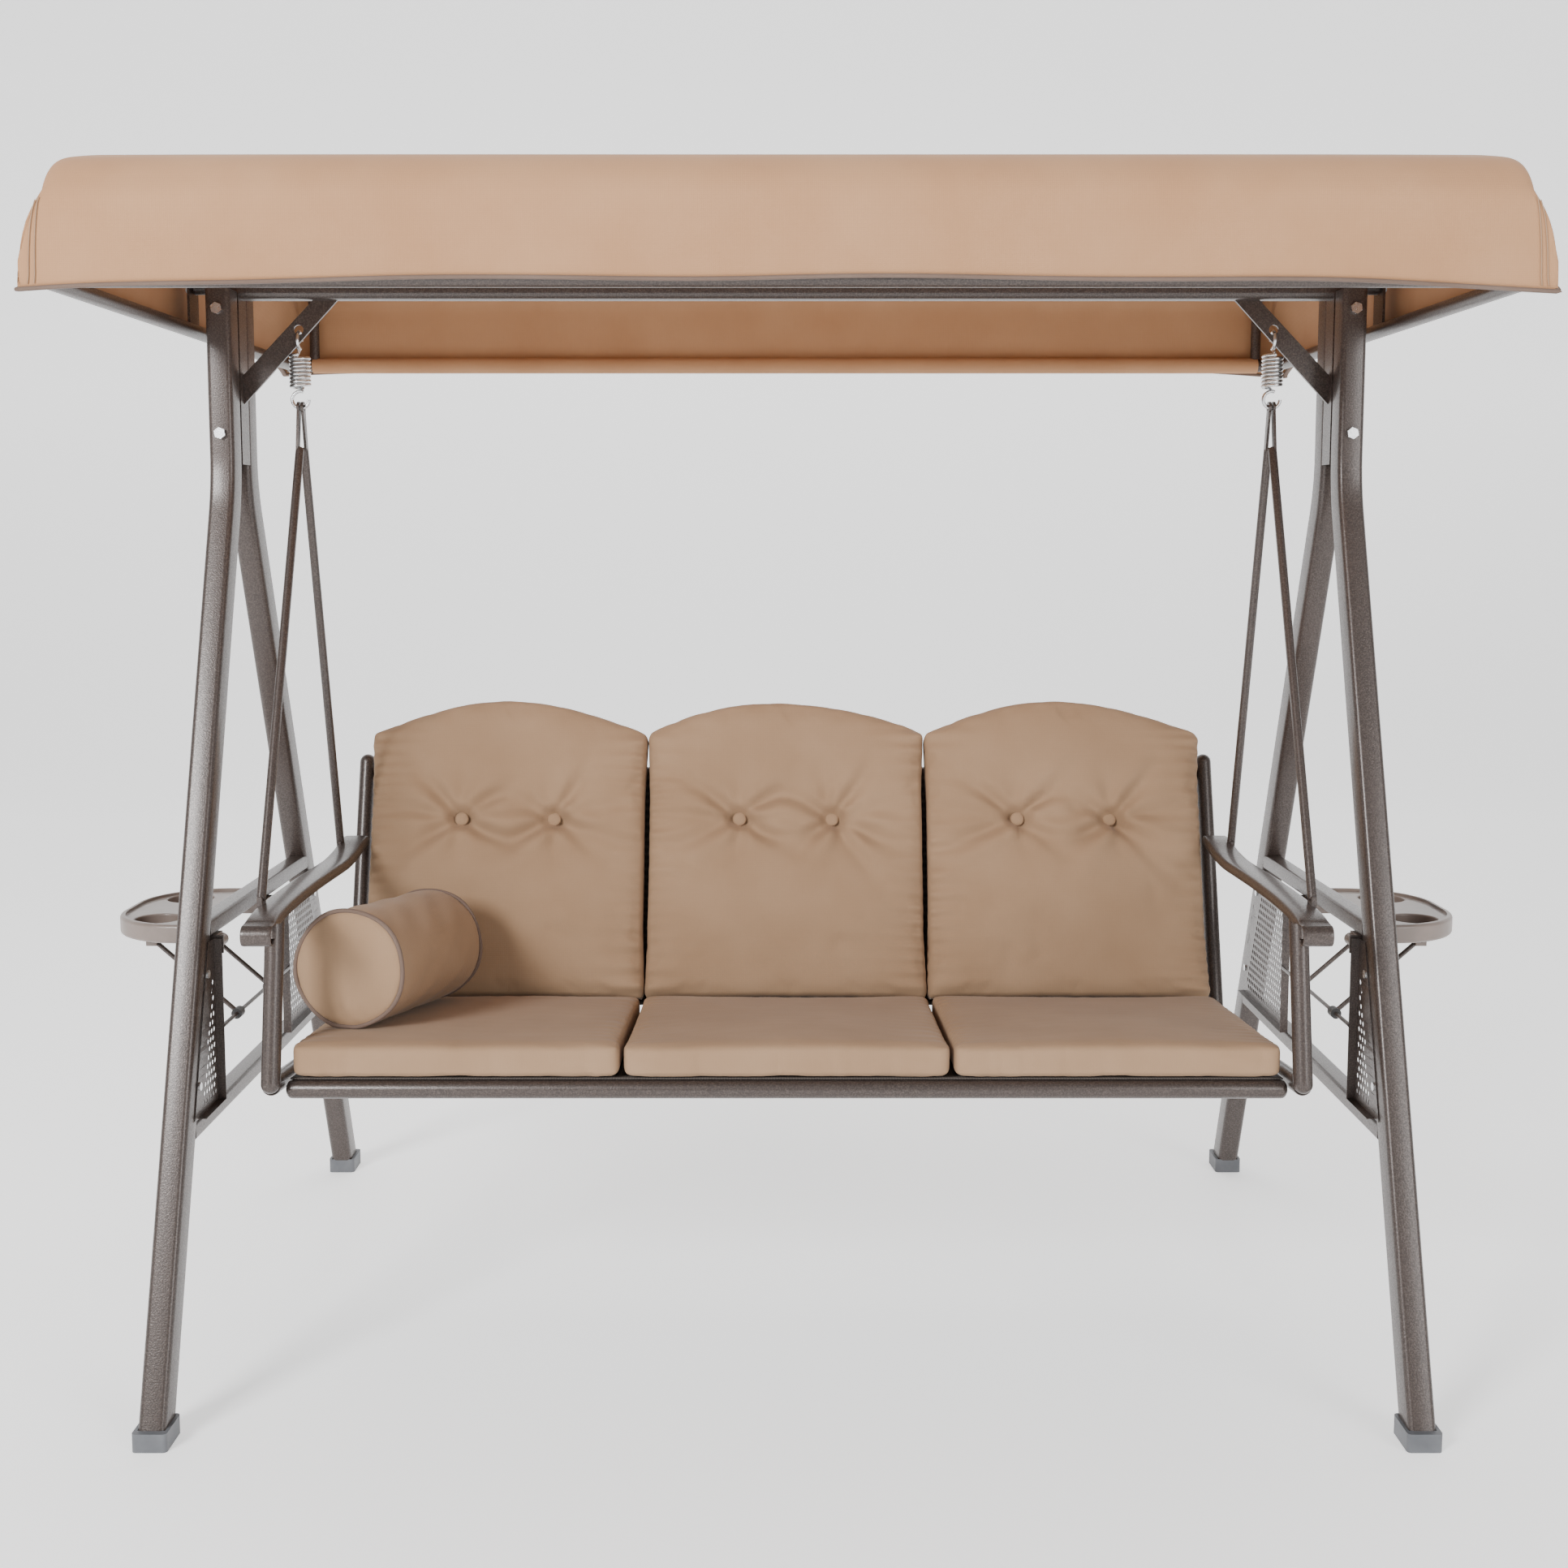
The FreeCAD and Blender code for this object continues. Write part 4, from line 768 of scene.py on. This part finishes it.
def bell(distance, width):
    """1 at no distance, falling as a Gaussian of that width."""
    return np.exp(-(distance / width) ** 2)


def crease(points, start, angle, length, width, depth):
    """How deep a fold is at each point: a valley with a ridge beside it, bending and fading along its length."""
    along = (points[:, 0] - start[0]) * math.cos(angle) + (points[:, 1] - start[1]) * math.sin(angle)
    across = -(points[:, 0] - start[0]) * math.sin(angle) + (points[:, 1] - start[1]) * math.cos(angle)
    bend = across - 0.12 * along ** 2 / length
    fade = np.clip(along / 0.012, 0, 1) * np.clip(1 - along / length, 0, 1) ** 1.3
    spread = width * (0.6 + 0.9 * np.clip(along / length, 0, 1))
    valley = np.exp(-(bend / spread) ** 2)
    ridge = np.exp(-((bend - 2.1 * spread) / (1.3 * spread)) ** 2)
    return depth * fade * (valley - 0.55 * ridge)


def ripple(points, wide, seed, height, wave=0.024):
    """Puckers beside the two side seams: waves along the seam that die away as exp(-distance / 27 mm)."""
    rng = np.random.default_rng(seed)
    total = np.zeros(len(points))
    for sign in (-1, 1):
        reach = wide / 2 - sign * points[:, 0]
        shift, drift = rng.uniform(0, TAU), rng.uniform(0.8, 1.25)
        wave_here = np.sin(points[:, 1] / wave * TAU * drift + shift + 1.7 * np.sin(points[:, 1] * 31 + shift))
        strength = 0.4 + 0.6 * np.sin(points[:, 1] * 9 + shift) ** 2
        total += wave_here * np.exp(-np.clip(reach, 0, None) / 0.027) * strength
    return total * height


def finished(name, mesh, held, turn, cloth):
    """A pad's object: the shared mesh copied, its points placed by a function, and one subdivision added."""
    copy = mesh.copy()
    copy.vertices.foreach_set("co", turn(held).reshape(-1))
    piece = bpy.data.objects.new(name, copy)
    bpy.context.collection.objects.link(piece)
    copy.shade_smooth()
    soft = piece.modifiers.new("soft", "SUBSURF")
    soft.levels = soft.render_levels = 1
    return dress(piece, cloth)


VOXEL = 0.0060
SEAT_LONG, SEAT_THICK, SEAT_PAD_Z = 0.419, 0.054, 0.4644
form = pad_form("seat_pad_form", plan_box(PAD_WIDE, SEAT_LONG, 0.014), SEAT_THICK - 0.003, SEAT_THICK, 0.006)
seat_shape = swell(form, VOXEL, 2.5, 0.004)
seat_mesh = form.data

CUSHIONS = (("left", -1, 11), ("middle", 0, 23), ("right", 1, 37))
for place_name, place, seed in CUSHIONS:
    def seat_place(points, place=place, seed=seed):
        """Flat foot on the sling, a shallow crown, puckered sides; then moved to its place."""
        local = points.copy()
        middle = (1 - (local[:, 0] / (PAD_WIDE / 2)) ** 2).clip(0) * (1 - ((local[:, 1] - 0.21) / 0.21) ** 2).clip(0)
        top = np.clip(local[:, 2] / SEAT_THICK, 0, 1)
        local[:, 2] += 0.002 * middle * top
        local[:, 2] += ripple(local, PAD_WIDE, seed, 0.0022) * top
        rng = np.random.default_rng(seed)
        phase = rng.uniform(0, TAU, 4)
        swayed = np.sin(local[:, 0] * 13 + phase[0]) * np.sin(local[:, 1] * 11 + phase[1])
        local[:, 2] += 0.0016 * swayed * top
        front = bell(local[:, 1], 0.03)
        local[:, 1] += front * 0.0010 * np.sin(local[:, 0] * 46 + phase[2]) * top
        for _ in range(6):
            at = rng.uniform(-0.21, 0.21)
            local[:, 1] += front * 0.0022 * bell(local[:, 0] - at, 0.006) * (1 - top * 0.6)
        local[:, 0] *= 1 - 0.007 * bell(np.abs(local[:, 0]) - PAD_WIDE / 2, 0.02) * (1 - 0.5 * top)
        local[:, 2] = np.maximum(local[:, 2], 0.0)
        local[:, 2] = np.minimum(local[:, 2], SEAT_THICK + 0.006)
        height = local[:, 2] + SEAT_PAD_Z - FALL * (local[:, 1] - 0.014)
        return np.stack([local[:, 0] + place * PAD_GAP, local[:, 1] - 0.359, height], 1)

    pad = finished("seat_pad_" + place_name, seat_mesh, seat_shape, seat_place, cushion_cloth)
    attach(pad, "seat")
    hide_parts("seat_cushion_" + place_name)
bpy.data.objects.remove(form)

BACK_FOOT, BACK_SIDE, BACK_TOP, BACK_THICK, BACK_OUT = 0.040, 0.487, 0.545, 0.088, 0.0166
form = pad_form("back_pad_form", plan_arch(PAD_WIDE, BACK_SIDE - BACK_FOOT, BACK_TOP - BACK_FOOT),
                BACK_THICK - 0.026, BACK_THICK, 0.012)
back_shape = swell(form, VOXEL, 3.0, 0.008)
back_mesh = form.data
BUTTONS = ((-0.078, 0.302), (0.078, 0.302))
FOLDS = ((0, 136, 0.16, 0.012, 0.019), (0, 207, 0.20, 0.014, 0.019), (0, 174, 0.16, 0.011, 0.012),
         (0, 268, 0.11, 0.012, 0.011), (0, 320, 0.16, 0.014, 0.019), (0, 30, 0.15, 0.013, 0.015),
         (0, 0, 0.15, 0.010, 0.010), (0, 88, 0.09, 0.010, 0.008), (1, 48, 0.14, 0.011, 0.016),
         (1, 330, 0.20, 0.014, 0.020), (1, 308, 0.18, 0.012, 0.013), (1, 5, 0.14, 0.011, 0.011),
         (1, 272, 0.10, 0.012, 0.010), (1, 214, 0.15, 0.014, 0.018), (1, 150, 0.14, 0.012, 0.014),
         (1, 95, 0.09, 0.010, 0.008))
button_tops = {}
for place_name, place, seed in CUSHIONS:
    def back_local(points, seed=seed):
        """The pad lying on its back: button dimples, folds round them, puckered sides and a slack top."""
        local = points.copy()
        rng = np.random.default_rng(seed)
        face = np.clip((local[:, 2] - 0.02) / (BACK_THICK - 0.045), 0, 1)
        drop = np.zeros(len(local))
        for bx, by in BUTTONS:
            r = np.hypot(local[:, 0] - bx, local[:, 1] - by)
            drop += 0.010 * bell(r, 0.016) + 0.018 * bell(r, 0.065)
        for which, angle, length, width, depth in FOLDS:
            swing = math.radians(angle + rng.uniform(-9, 9))
            drop += crease(local, BUTTONS[which], swing, length * rng.uniform(0.85, 1.2), width, depth)
        for sag, depth in ((-0.034, 0.007), (0.038, 0.006)):
            arc = BUTTONS[0][1] + sag * (1 - (local[:, 0] / 0.078) ** 2)
            drop += depth * bell(local[:, 1] - arc, 0.011) * np.clip(1 - (local[:, 0] / 0.088) ** 2, 0, 1)
        for _ in range(6):
            start = (rng.uniform(-0.2, 0.2), rng.uniform(0.05, 0.40))
            drop += crease(local, start, rng.uniform(0, TAU), rng.uniform(0.10, 0.20), 0.018, 0.0034)
        local[:, 2] -= drop * face
        local[:, 2] += ripple(local, PAD_WIDE, seed + 1, 0.0085) * face
        phase = rng.uniform(0, TAU, 3)
        local[:, 1] += 0.003 * np.sin(local[:, 0] * 14 + phase[0]) * np.clip((local[:, 1] - 0.42) / 0.06, 0, 1)
        local[:, 2] += 0.0022 * np.sin(local[:, 0] * 12 + phase[1]) * np.sin(local[:, 1] * 10 + phase[2]) * face
        return local

    def back_place(points, place=place, local_of=back_local):
        """The pad leaned against the back sling, in its place along the seat."""
        local = local_of(points)
        line = back_point(BACK_FOOT + local[:, 1], BACK_OUT + local[:, 2])
        return np.stack([local[:, 0] * 1.006 + place * PAD_GAP, line[0], line[1]], 1)

    pad = finished("back_pad_" + place_name, back_mesh, back_shape, back_place, cushion_cloth)
    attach(pad, "seat")
    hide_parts("back_cushion_" + place_name)
    local = back_local(back_shape)
    button_tops[place_name] = [local[np.argmin(np.hypot(local[:, 0] - bx, local[:, 1] - by)
                                              + (local[:, 2] < 0.03) * 9), 2] for bx, by in BUTTONS]
bpy.data.objects.remove(form)


# Cloth-covered domed buttons, sewn down through the back pads.
def domed(name, centre, out, radius, height):
    """A button: a quarter-circle profile spun about the axis `out`, with a rolled lower edge."""
    turn = np.linspace(0.05, math.pi / 2, 8)
    r = np.concatenate([[radius * 0.55, radius * 0.92], radius * np.cos(turn[:-1]), [radius * 0.06]])
    h = np.concatenate([[-height * 0.9, -height * 0.5], height * np.sin(turn)])
    out = np.array(out, dtype=float)
    first = np.array([1.0, 0.0, 0.0])
    second = np.cross(out, first)
    spin = ring(1.0, 24)
    grid = (np.array(centre) + h[:, None, None] * out
            + r[:, None, None] * (spin[None, :, 0, None] * first + spin[None, :, 1, None] * second))
    return surface(name, grid, wrap=True, ends=True, sharp=80.0)


out_way = back_point(0.0, 1.0) - back_point(0.0, 0.0)
for place_name, place, seed in CUSHIONS:
    for number, (bx, by) in enumerate(BUTTONS):
        at = back_point(BACK_FOOT + by, BACK_OUT + button_tops[place_name][number] + 0.002)
        button = domed("button_%s_%d" % (place_name, number + 1), (bx + place * PAD_GAP, at[0], at[1]),
                       (0.0, out_way[0], out_way[1]), 0.0115, 0.0045)
        fit(button, cushion_cloth, "seat", "cushion_fabric")


# ---------------------------------------------------------------- bolster
# A loose round bolster lying on the left seat pad: a tube of cloth with flat round ends, piped in brown.
piping_cloth = woven("piping_cloth", (0.130, 0.085, 0.064, 1.0), (0.165, 0.112, 0.088, 1.0))
BOLSTER_R, BOLSTER_LONG = 0.088, 0.300
BOLSTER_START = np.array([-0.642, -0.262, SEAT_PAD_Z + SEAT_THICK + BOLSTER_R + 0.001 - FALL * (-0.262 - FRONT_Y)])
BOLSTER_WAY = np.array([0.075, 0.300, -0.300 * FALL])
BOLSTER_WAY /= np.linalg.norm(BOLSTER_WAY)
BOLSTER_SIDE = np.cross([0.0, 0.0, 1.0], BOLSTER_WAY)
BOLSTER_SIDE /= np.linalg.norm(BOLSTER_SIDE)
BOLSTER_UP = np.cross(BOLSTER_WAY, BOLSTER_SIDE)


def bolster_form():
    """A cylinder along X with softly rounded ends, before it swells."""
    turn = np.linspace(0, math.pi / 2, 6)
    edge = 0.012
    x = np.concatenate([[0, 0, 0], edge * (1 - np.cos(turn)), np.linspace(0.04, BOLSTER_LONG - 0.04, 8),
                        BOLSTER_LONG - edge * (1 - np.cos(turn))[::-1], [BOLSTER_LONG] * 3])
    r = BOLSTER_R - 0.001
    radius = np.concatenate([[r * 0.25, r * 0.5, r * 0.75], r - edge * (1 - np.sin(turn)), np.full(8, r),
                             (r - edge * (1 - np.sin(turn)))[::-1], [r * 0.75, r * 0.5, r * 0.25]])
    spin = ring(1.0, 64)
    grid = np.stack([np.broadcast_to(x[:, None], (len(x), 64)), radius[:, None] * spin[None, :, 0],
                     radius[:, None] * spin[None, :, 1]], -1)
    return surface("bolster_form", grid, wrap=True, ends=True)


form = bolster_form()
bolster_shape = swell(form, VOXEL, 3.0, 0.005)


def bolster_place(points):
    """End seams drawn in, a gathered tuck on the near end, slack folds along the top; then laid on the pad."""
    local = points.copy()
    rim = np.hypot(local[:, 1], local[:, 2])
    for end in (0.0, BOLSTER_LONG):
        near = bell(local[:, 0] - end, 0.012) * np.clip(rim / BOLSTER_R, 0, 1) ** 4
        local[:, 1:] *= (1 - 0.012 * near)[:, None]
    angle = np.arctan2(local[:, 2], local[:, 1])
    middle = np.clip(local[:, 0] / 0.05, 0, 1) * np.clip((BOLSTER_LONG - local[:, 0]) / 0.05, 0, 1)
    wave = 0.0016 * np.sin(angle * 7 + local[:, 0] * 40) * np.sin(local[:, 0] * 33 + 1.0)
    local[:, 1:] *= (1 + wave * middle / BOLSTER_R)[:, None]
    tuck = crease(np.stack([local[:, 1], local[:, 2]], 1), (0.004, -0.074), math.radians(75), 0.045, 0.006, 0.005)
    local[:, 0] += tuck * bell(local[:, 0], 0.02)
    flat = BOLSTER_R - 0.0005
    local[:, 2] = np.maximum(local[:, 2], -flat)
    return BOLSTER_START + local @ np.stack([BOLSTER_WAY, BOLSTER_SIDE, BOLSTER_UP])


bolster = finished("bolster_pillow", form.data, bolster_shape, bolster_place, cushion_cloth)
bpy.data.objects.remove(form)
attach(bolster, "seat")
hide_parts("bolster")

shoulder = np.hypot(bolster_shape[:, 1], bolster_shape[:, 2])
for number, along in enumerate((0.009, BOLSTER_LONG - 0.009)):
    turn = np.linspace(0, TAU, 97)
    seam = shoulder[np.abs(bolster_shape[:, 0] - along) < 0.005].max()
    radius = seam - 0.0005 + 0.0010 * np.cos(turn * 5 + 0.6 + number)
    height = np.maximum(radius * np.sin(turn), -BOLSTER_R + 0.0034)
    loop = (BOLSTER_START + along * BOLSTER_WAY + (radius * np.cos(turn))[:, None] * BOLSTER_SIDE
            + height[:, None] * BOLSTER_UP)
    piping = carried("bolster_piping_%d" % (number + 1), ring(0.0033, 12), loop, across=tuple(BOLSTER_WAY),
                     ends=False)
    fit(piping, piping_cloth, "seat", "cushion_fabric")


# ---------------------------------------------------------------- canopy frame
# Round tubes: a rectangle at the hem, bowed hoops above it, and ears that pivot on the posts.
for name in ("canopy_front_tube", "canopy_rear_tube", "canopy_side_tube_left", "canopy_side_tube_right",
             "canopy_brackets", "canopy_hoops"):
    dress(nodes[name], paint)


# ---------------------------------------------------------------- canopy cover
# One sewn cover: a bowed top that rounds over into upright valances, closed at the ends, with a brown bound hem
# and a double row of stitching inside each corner.  It sags a little between the hoops.
canopy_cloth = woven("canopy_cloth", (0.412, 0.216, 0.106, 1.0), (0.452, 0.249, 0.128, 1.0), 0.0006)
HALF_X, HALF_Y, HEM_Z, EAVE_Z, CROWN_Z, CORNER = 0.937, 0.612, 1.528, 1.640, 1.775, 0.070


def cover_section(inset, count=120):
    """The cover's section moved in by the inset, as Y and Z from the front hem over to the rear one.

    An upright from hem to eave, a corner arc, and a long bow tangent to both; mirrored about Y = 0.
    """
    drop = CROWN_Z - EAVE_Z
    bow = (drop ** 2 + (HALF_Y - CORNER) ** 2 - CORNER ** 2) / (2 * (drop - CORNER))
    turn = math.atan2(HALF_Y - CORNER, bow - drop)
    up = np.linspace(HEM_Z, EAVE_Z, 14)[:-1]
    lift = np.stack([np.full(len(up), -HALF_Y + inset), up], 1)
    a = np.linspace(math.pi / 2, turn, 16)[:-1]
    small = CORNER - inset
    arc = np.stack([-(HALF_Y - CORNER) - small * np.sin(a), EAVE_Z + small * np.cos(a)], 1)
    b = np.linspace(turn, 0, 34)
    long = np.stack([-(bow - inset) * np.sin(b), CROWN_Z - bow + (bow - inset) * np.cos(b)], 1)
    half = np.concatenate([lift, arc, long])
    return np.concatenate([half, half[-2::-1] * np.array([-1.0, 1.0])])


def cover_shape(x, y, z):
    """Moves points of the straight-sided cover to where the sewn cloth hangs.

    With u = x / HALF_X and h the height above the hem as a part of the height to the eave: the whole edge sinks
    towards the ends by 10 mm u^2, the last 55 mm of the top turn down through a quarter circle, the ends lean
    in by 20 mm h^3, the cloth sags between the hoops, and the hem lifts 16 mm in the middle of its front.
    """
    u = x / HALF_X
    h = np.clip((z - HEM_Z) / (EAVE_Z + 0.03 - HEM_Z), 0, 1)
    near_end = np.clip((np.abs(x) - (HALF_X - 0.055)) / 0.055, 0, 1)
    long_side = np.clip((np.abs(y) - 0.50) / 0.08, 0, 1)
    high = h ** 3
    z = z - high * (0.010 * u ** 2 + 0.034 * (1 - np.sqrt(np.clip(1 - near_end ** 2, 0, 1))))
    z = z - 0.010 * np.clip(np.cos(math.pi * x / 1.77), 0, 1) * np.clip((z - 1.67) / 0.06, 0, 1)
    z = z + (1 - h) * long_side * (0.016 * (1 - u ** 4) + 0.0016 * np.sin(x * 12.0))
    ripple_out = 0.0024 * np.sin(x * 7.0 + 0.7) + 0.0012 * np.sin(x * 21.0)
    y = y + np.sign(y) * long_side * (1 - h) * ripple_out
    x = x - np.sign(x) * near_end ** 2 * (0.020 * high + 0.006 * h - 0.003 * np.clip(1 - 9 * h, 0, 1))
    return x, y, z


def cover_grid():
    """The top and the two long valances as one grid: the cover's section repeated along X."""
    near = 0.055 * (1 - np.cos(np.linspace(0, math.pi / 2, 13)))
    end = HALF_X - near
    x = np.concatenate([-end, np.linspace(-end[-1], end[-1], 92)[1:-1], end[::-1]])
    line = cover_section(0.001)
    shape = (len(x), len(line))
    return np.stack(cover_shape(*(np.broadcast_to(part, shape) for part in (x[:, None], line[:, 0], line[:, 1]))), -1)


SIDE_HEM = 0.026


def end_panel(rim, side):
    """The end of the cover: each point of the rim joined by an upright line to the hem, which lifts SIDE_HEM."""
    t = np.linspace(0, 1, 14)[:, None]
    lift = SIDE_HEM * np.clip((HALF_Y - np.abs(rim[None, :, 1])) / 0.10, 0, 1) ** 0.7
    foot = np.minimum(HEM_Z + lift, rim[None, :, 2])
    z = rim[None, :, 2] + (foot - rim[None, :, 2]) * t
    out = (HALF_X + 0.002 - np.abs(rim[None, :, 0])) * np.clip(1.6 * t, 0, 1) ** 0.8
    out = out * np.clip((rim[None, :, 2] - HEM_Z) / 0.02, 0, 1)
    return np.stack([rim[None, :, 0] + side * out, np.broadcast_to(rim[None, :, 1], z.shape), z], -1)


cover_rows = cover_grid()
cover = surface("cover_top", cover_rows)
ends = [surface("cover_end_left", end_panel(cover_rows[0], -1)),
        surface("cover_end_right", end_panel(cover_rows[-1], 1))]
merged(cover.data, 2e-4, ends)
for piece in ends:
    bpy.data.objects.remove(piece)
cover.data.shade_smooth()
wall = cover.modifiers.new("cloth", "SOLIDIFY")
wall.thickness = 0.0012
wall.offset = -1.0
fit(cover, canopy_cloth, "canopy", "canopy_fabric", "canopy_cover")

# The bound hem: a brown cord of cloth sewn all round the lower edge.
def hem_path():
    """The cover's lower edge: along the front, back over the right end panel, the rear and the left end."""
    front, rear = cover_rows[:, 0], cover_rows[:, -1]
    left = end_panel(cover_rows[0], -1)[-1]
    right = end_panel(cover_rows[-1], 1)[-1]
    loop = np.concatenate([front, right[2:-2], rear[::-1], left[::-1][2:-2]])
    keep = np.concatenate([[True], np.linalg.norm(np.diff(loop, axis=0), axis=1) > 0.0015])
    loop = loop[keep]
    return np.concatenate([loop, loop[:2]])


binding = carried("hem_binding", round_corners(0.0050, 0.0085, 0.0022, 4), hem_path(), across=(0.0, 0.0, 1.0),
                  ends=False)
fit(binding, piping_cloth, "canopy", "canopy_fabric")


# The rear tube runs in a sleeve sewn to the inside of the rear valance.
sleeve_line = np.stack([np.linspace(-0.88, 0.88, 5), np.full(5, HALF_Y - 0.020), np.full(5, 1.545)], 1)
oval = np.stack([ring(1.0, 40)[:, 0] * 0.0132, ring(1.0, 40)[:, 1] * 0.0140], 1)
sleeve = carried("tube_sleeve", oval, sleeve_line, across=(0.0, 1.0, 0.0))
fit(sleeve, canopy_cloth, "canopy", "canopy_fabric")

# Double rows of stitching run down the long valances just inside each upright seam.
thread_cloth = woven("seam_thread", (0.33, 0.215, 0.135, 1.0), (0.38, 0.25, 0.16, 1.0), 0.0004)
for side_name, side in SIDES:
    for row, set_in in enumerate((0.011, 0.019)):
        height = np.linspace(HEM_Z + 0.006, EAVE_Z + 0.012, 24)
        bent = cover_shape(np.full(24, side * (HALF_X - set_in)), np.full(24, -HALF_Y - 0.0004), height)
        seam = carried("stitching_%s_%d" % (side_name, row + 1), ring(0.0007, 6), np.stack(bent, 1))
        fit(seam, thread_cloth, "canopy", "canopy_fabric")


# ---------------------------------------------------------------- trays
# Moulded trays with two cup holders, on steel pins; two thin struts and a cross rod hold each one level.
tray_plastic = moulded("tray_plastic", (0.170, 0.132, 0.112, 1.0), (0.205, 0.162, 0.140, 1.0), 0.36, 1400.0,
                       0.00006, 0.25)
black_plastic = moulded("black_plastic", (0.020, 0.019, 0.019, 1.0), (0.034, 0.032, 0.031, 1.0), 0.40)
for side_name, side in SIDES:
    dress(nodes["tray_" + side_name], tray_plastic)
    dress(nodes["tray_struts_" + side_name], paint)
    dress(nodes["strut_knuckles_" + side_name], black_plastic)
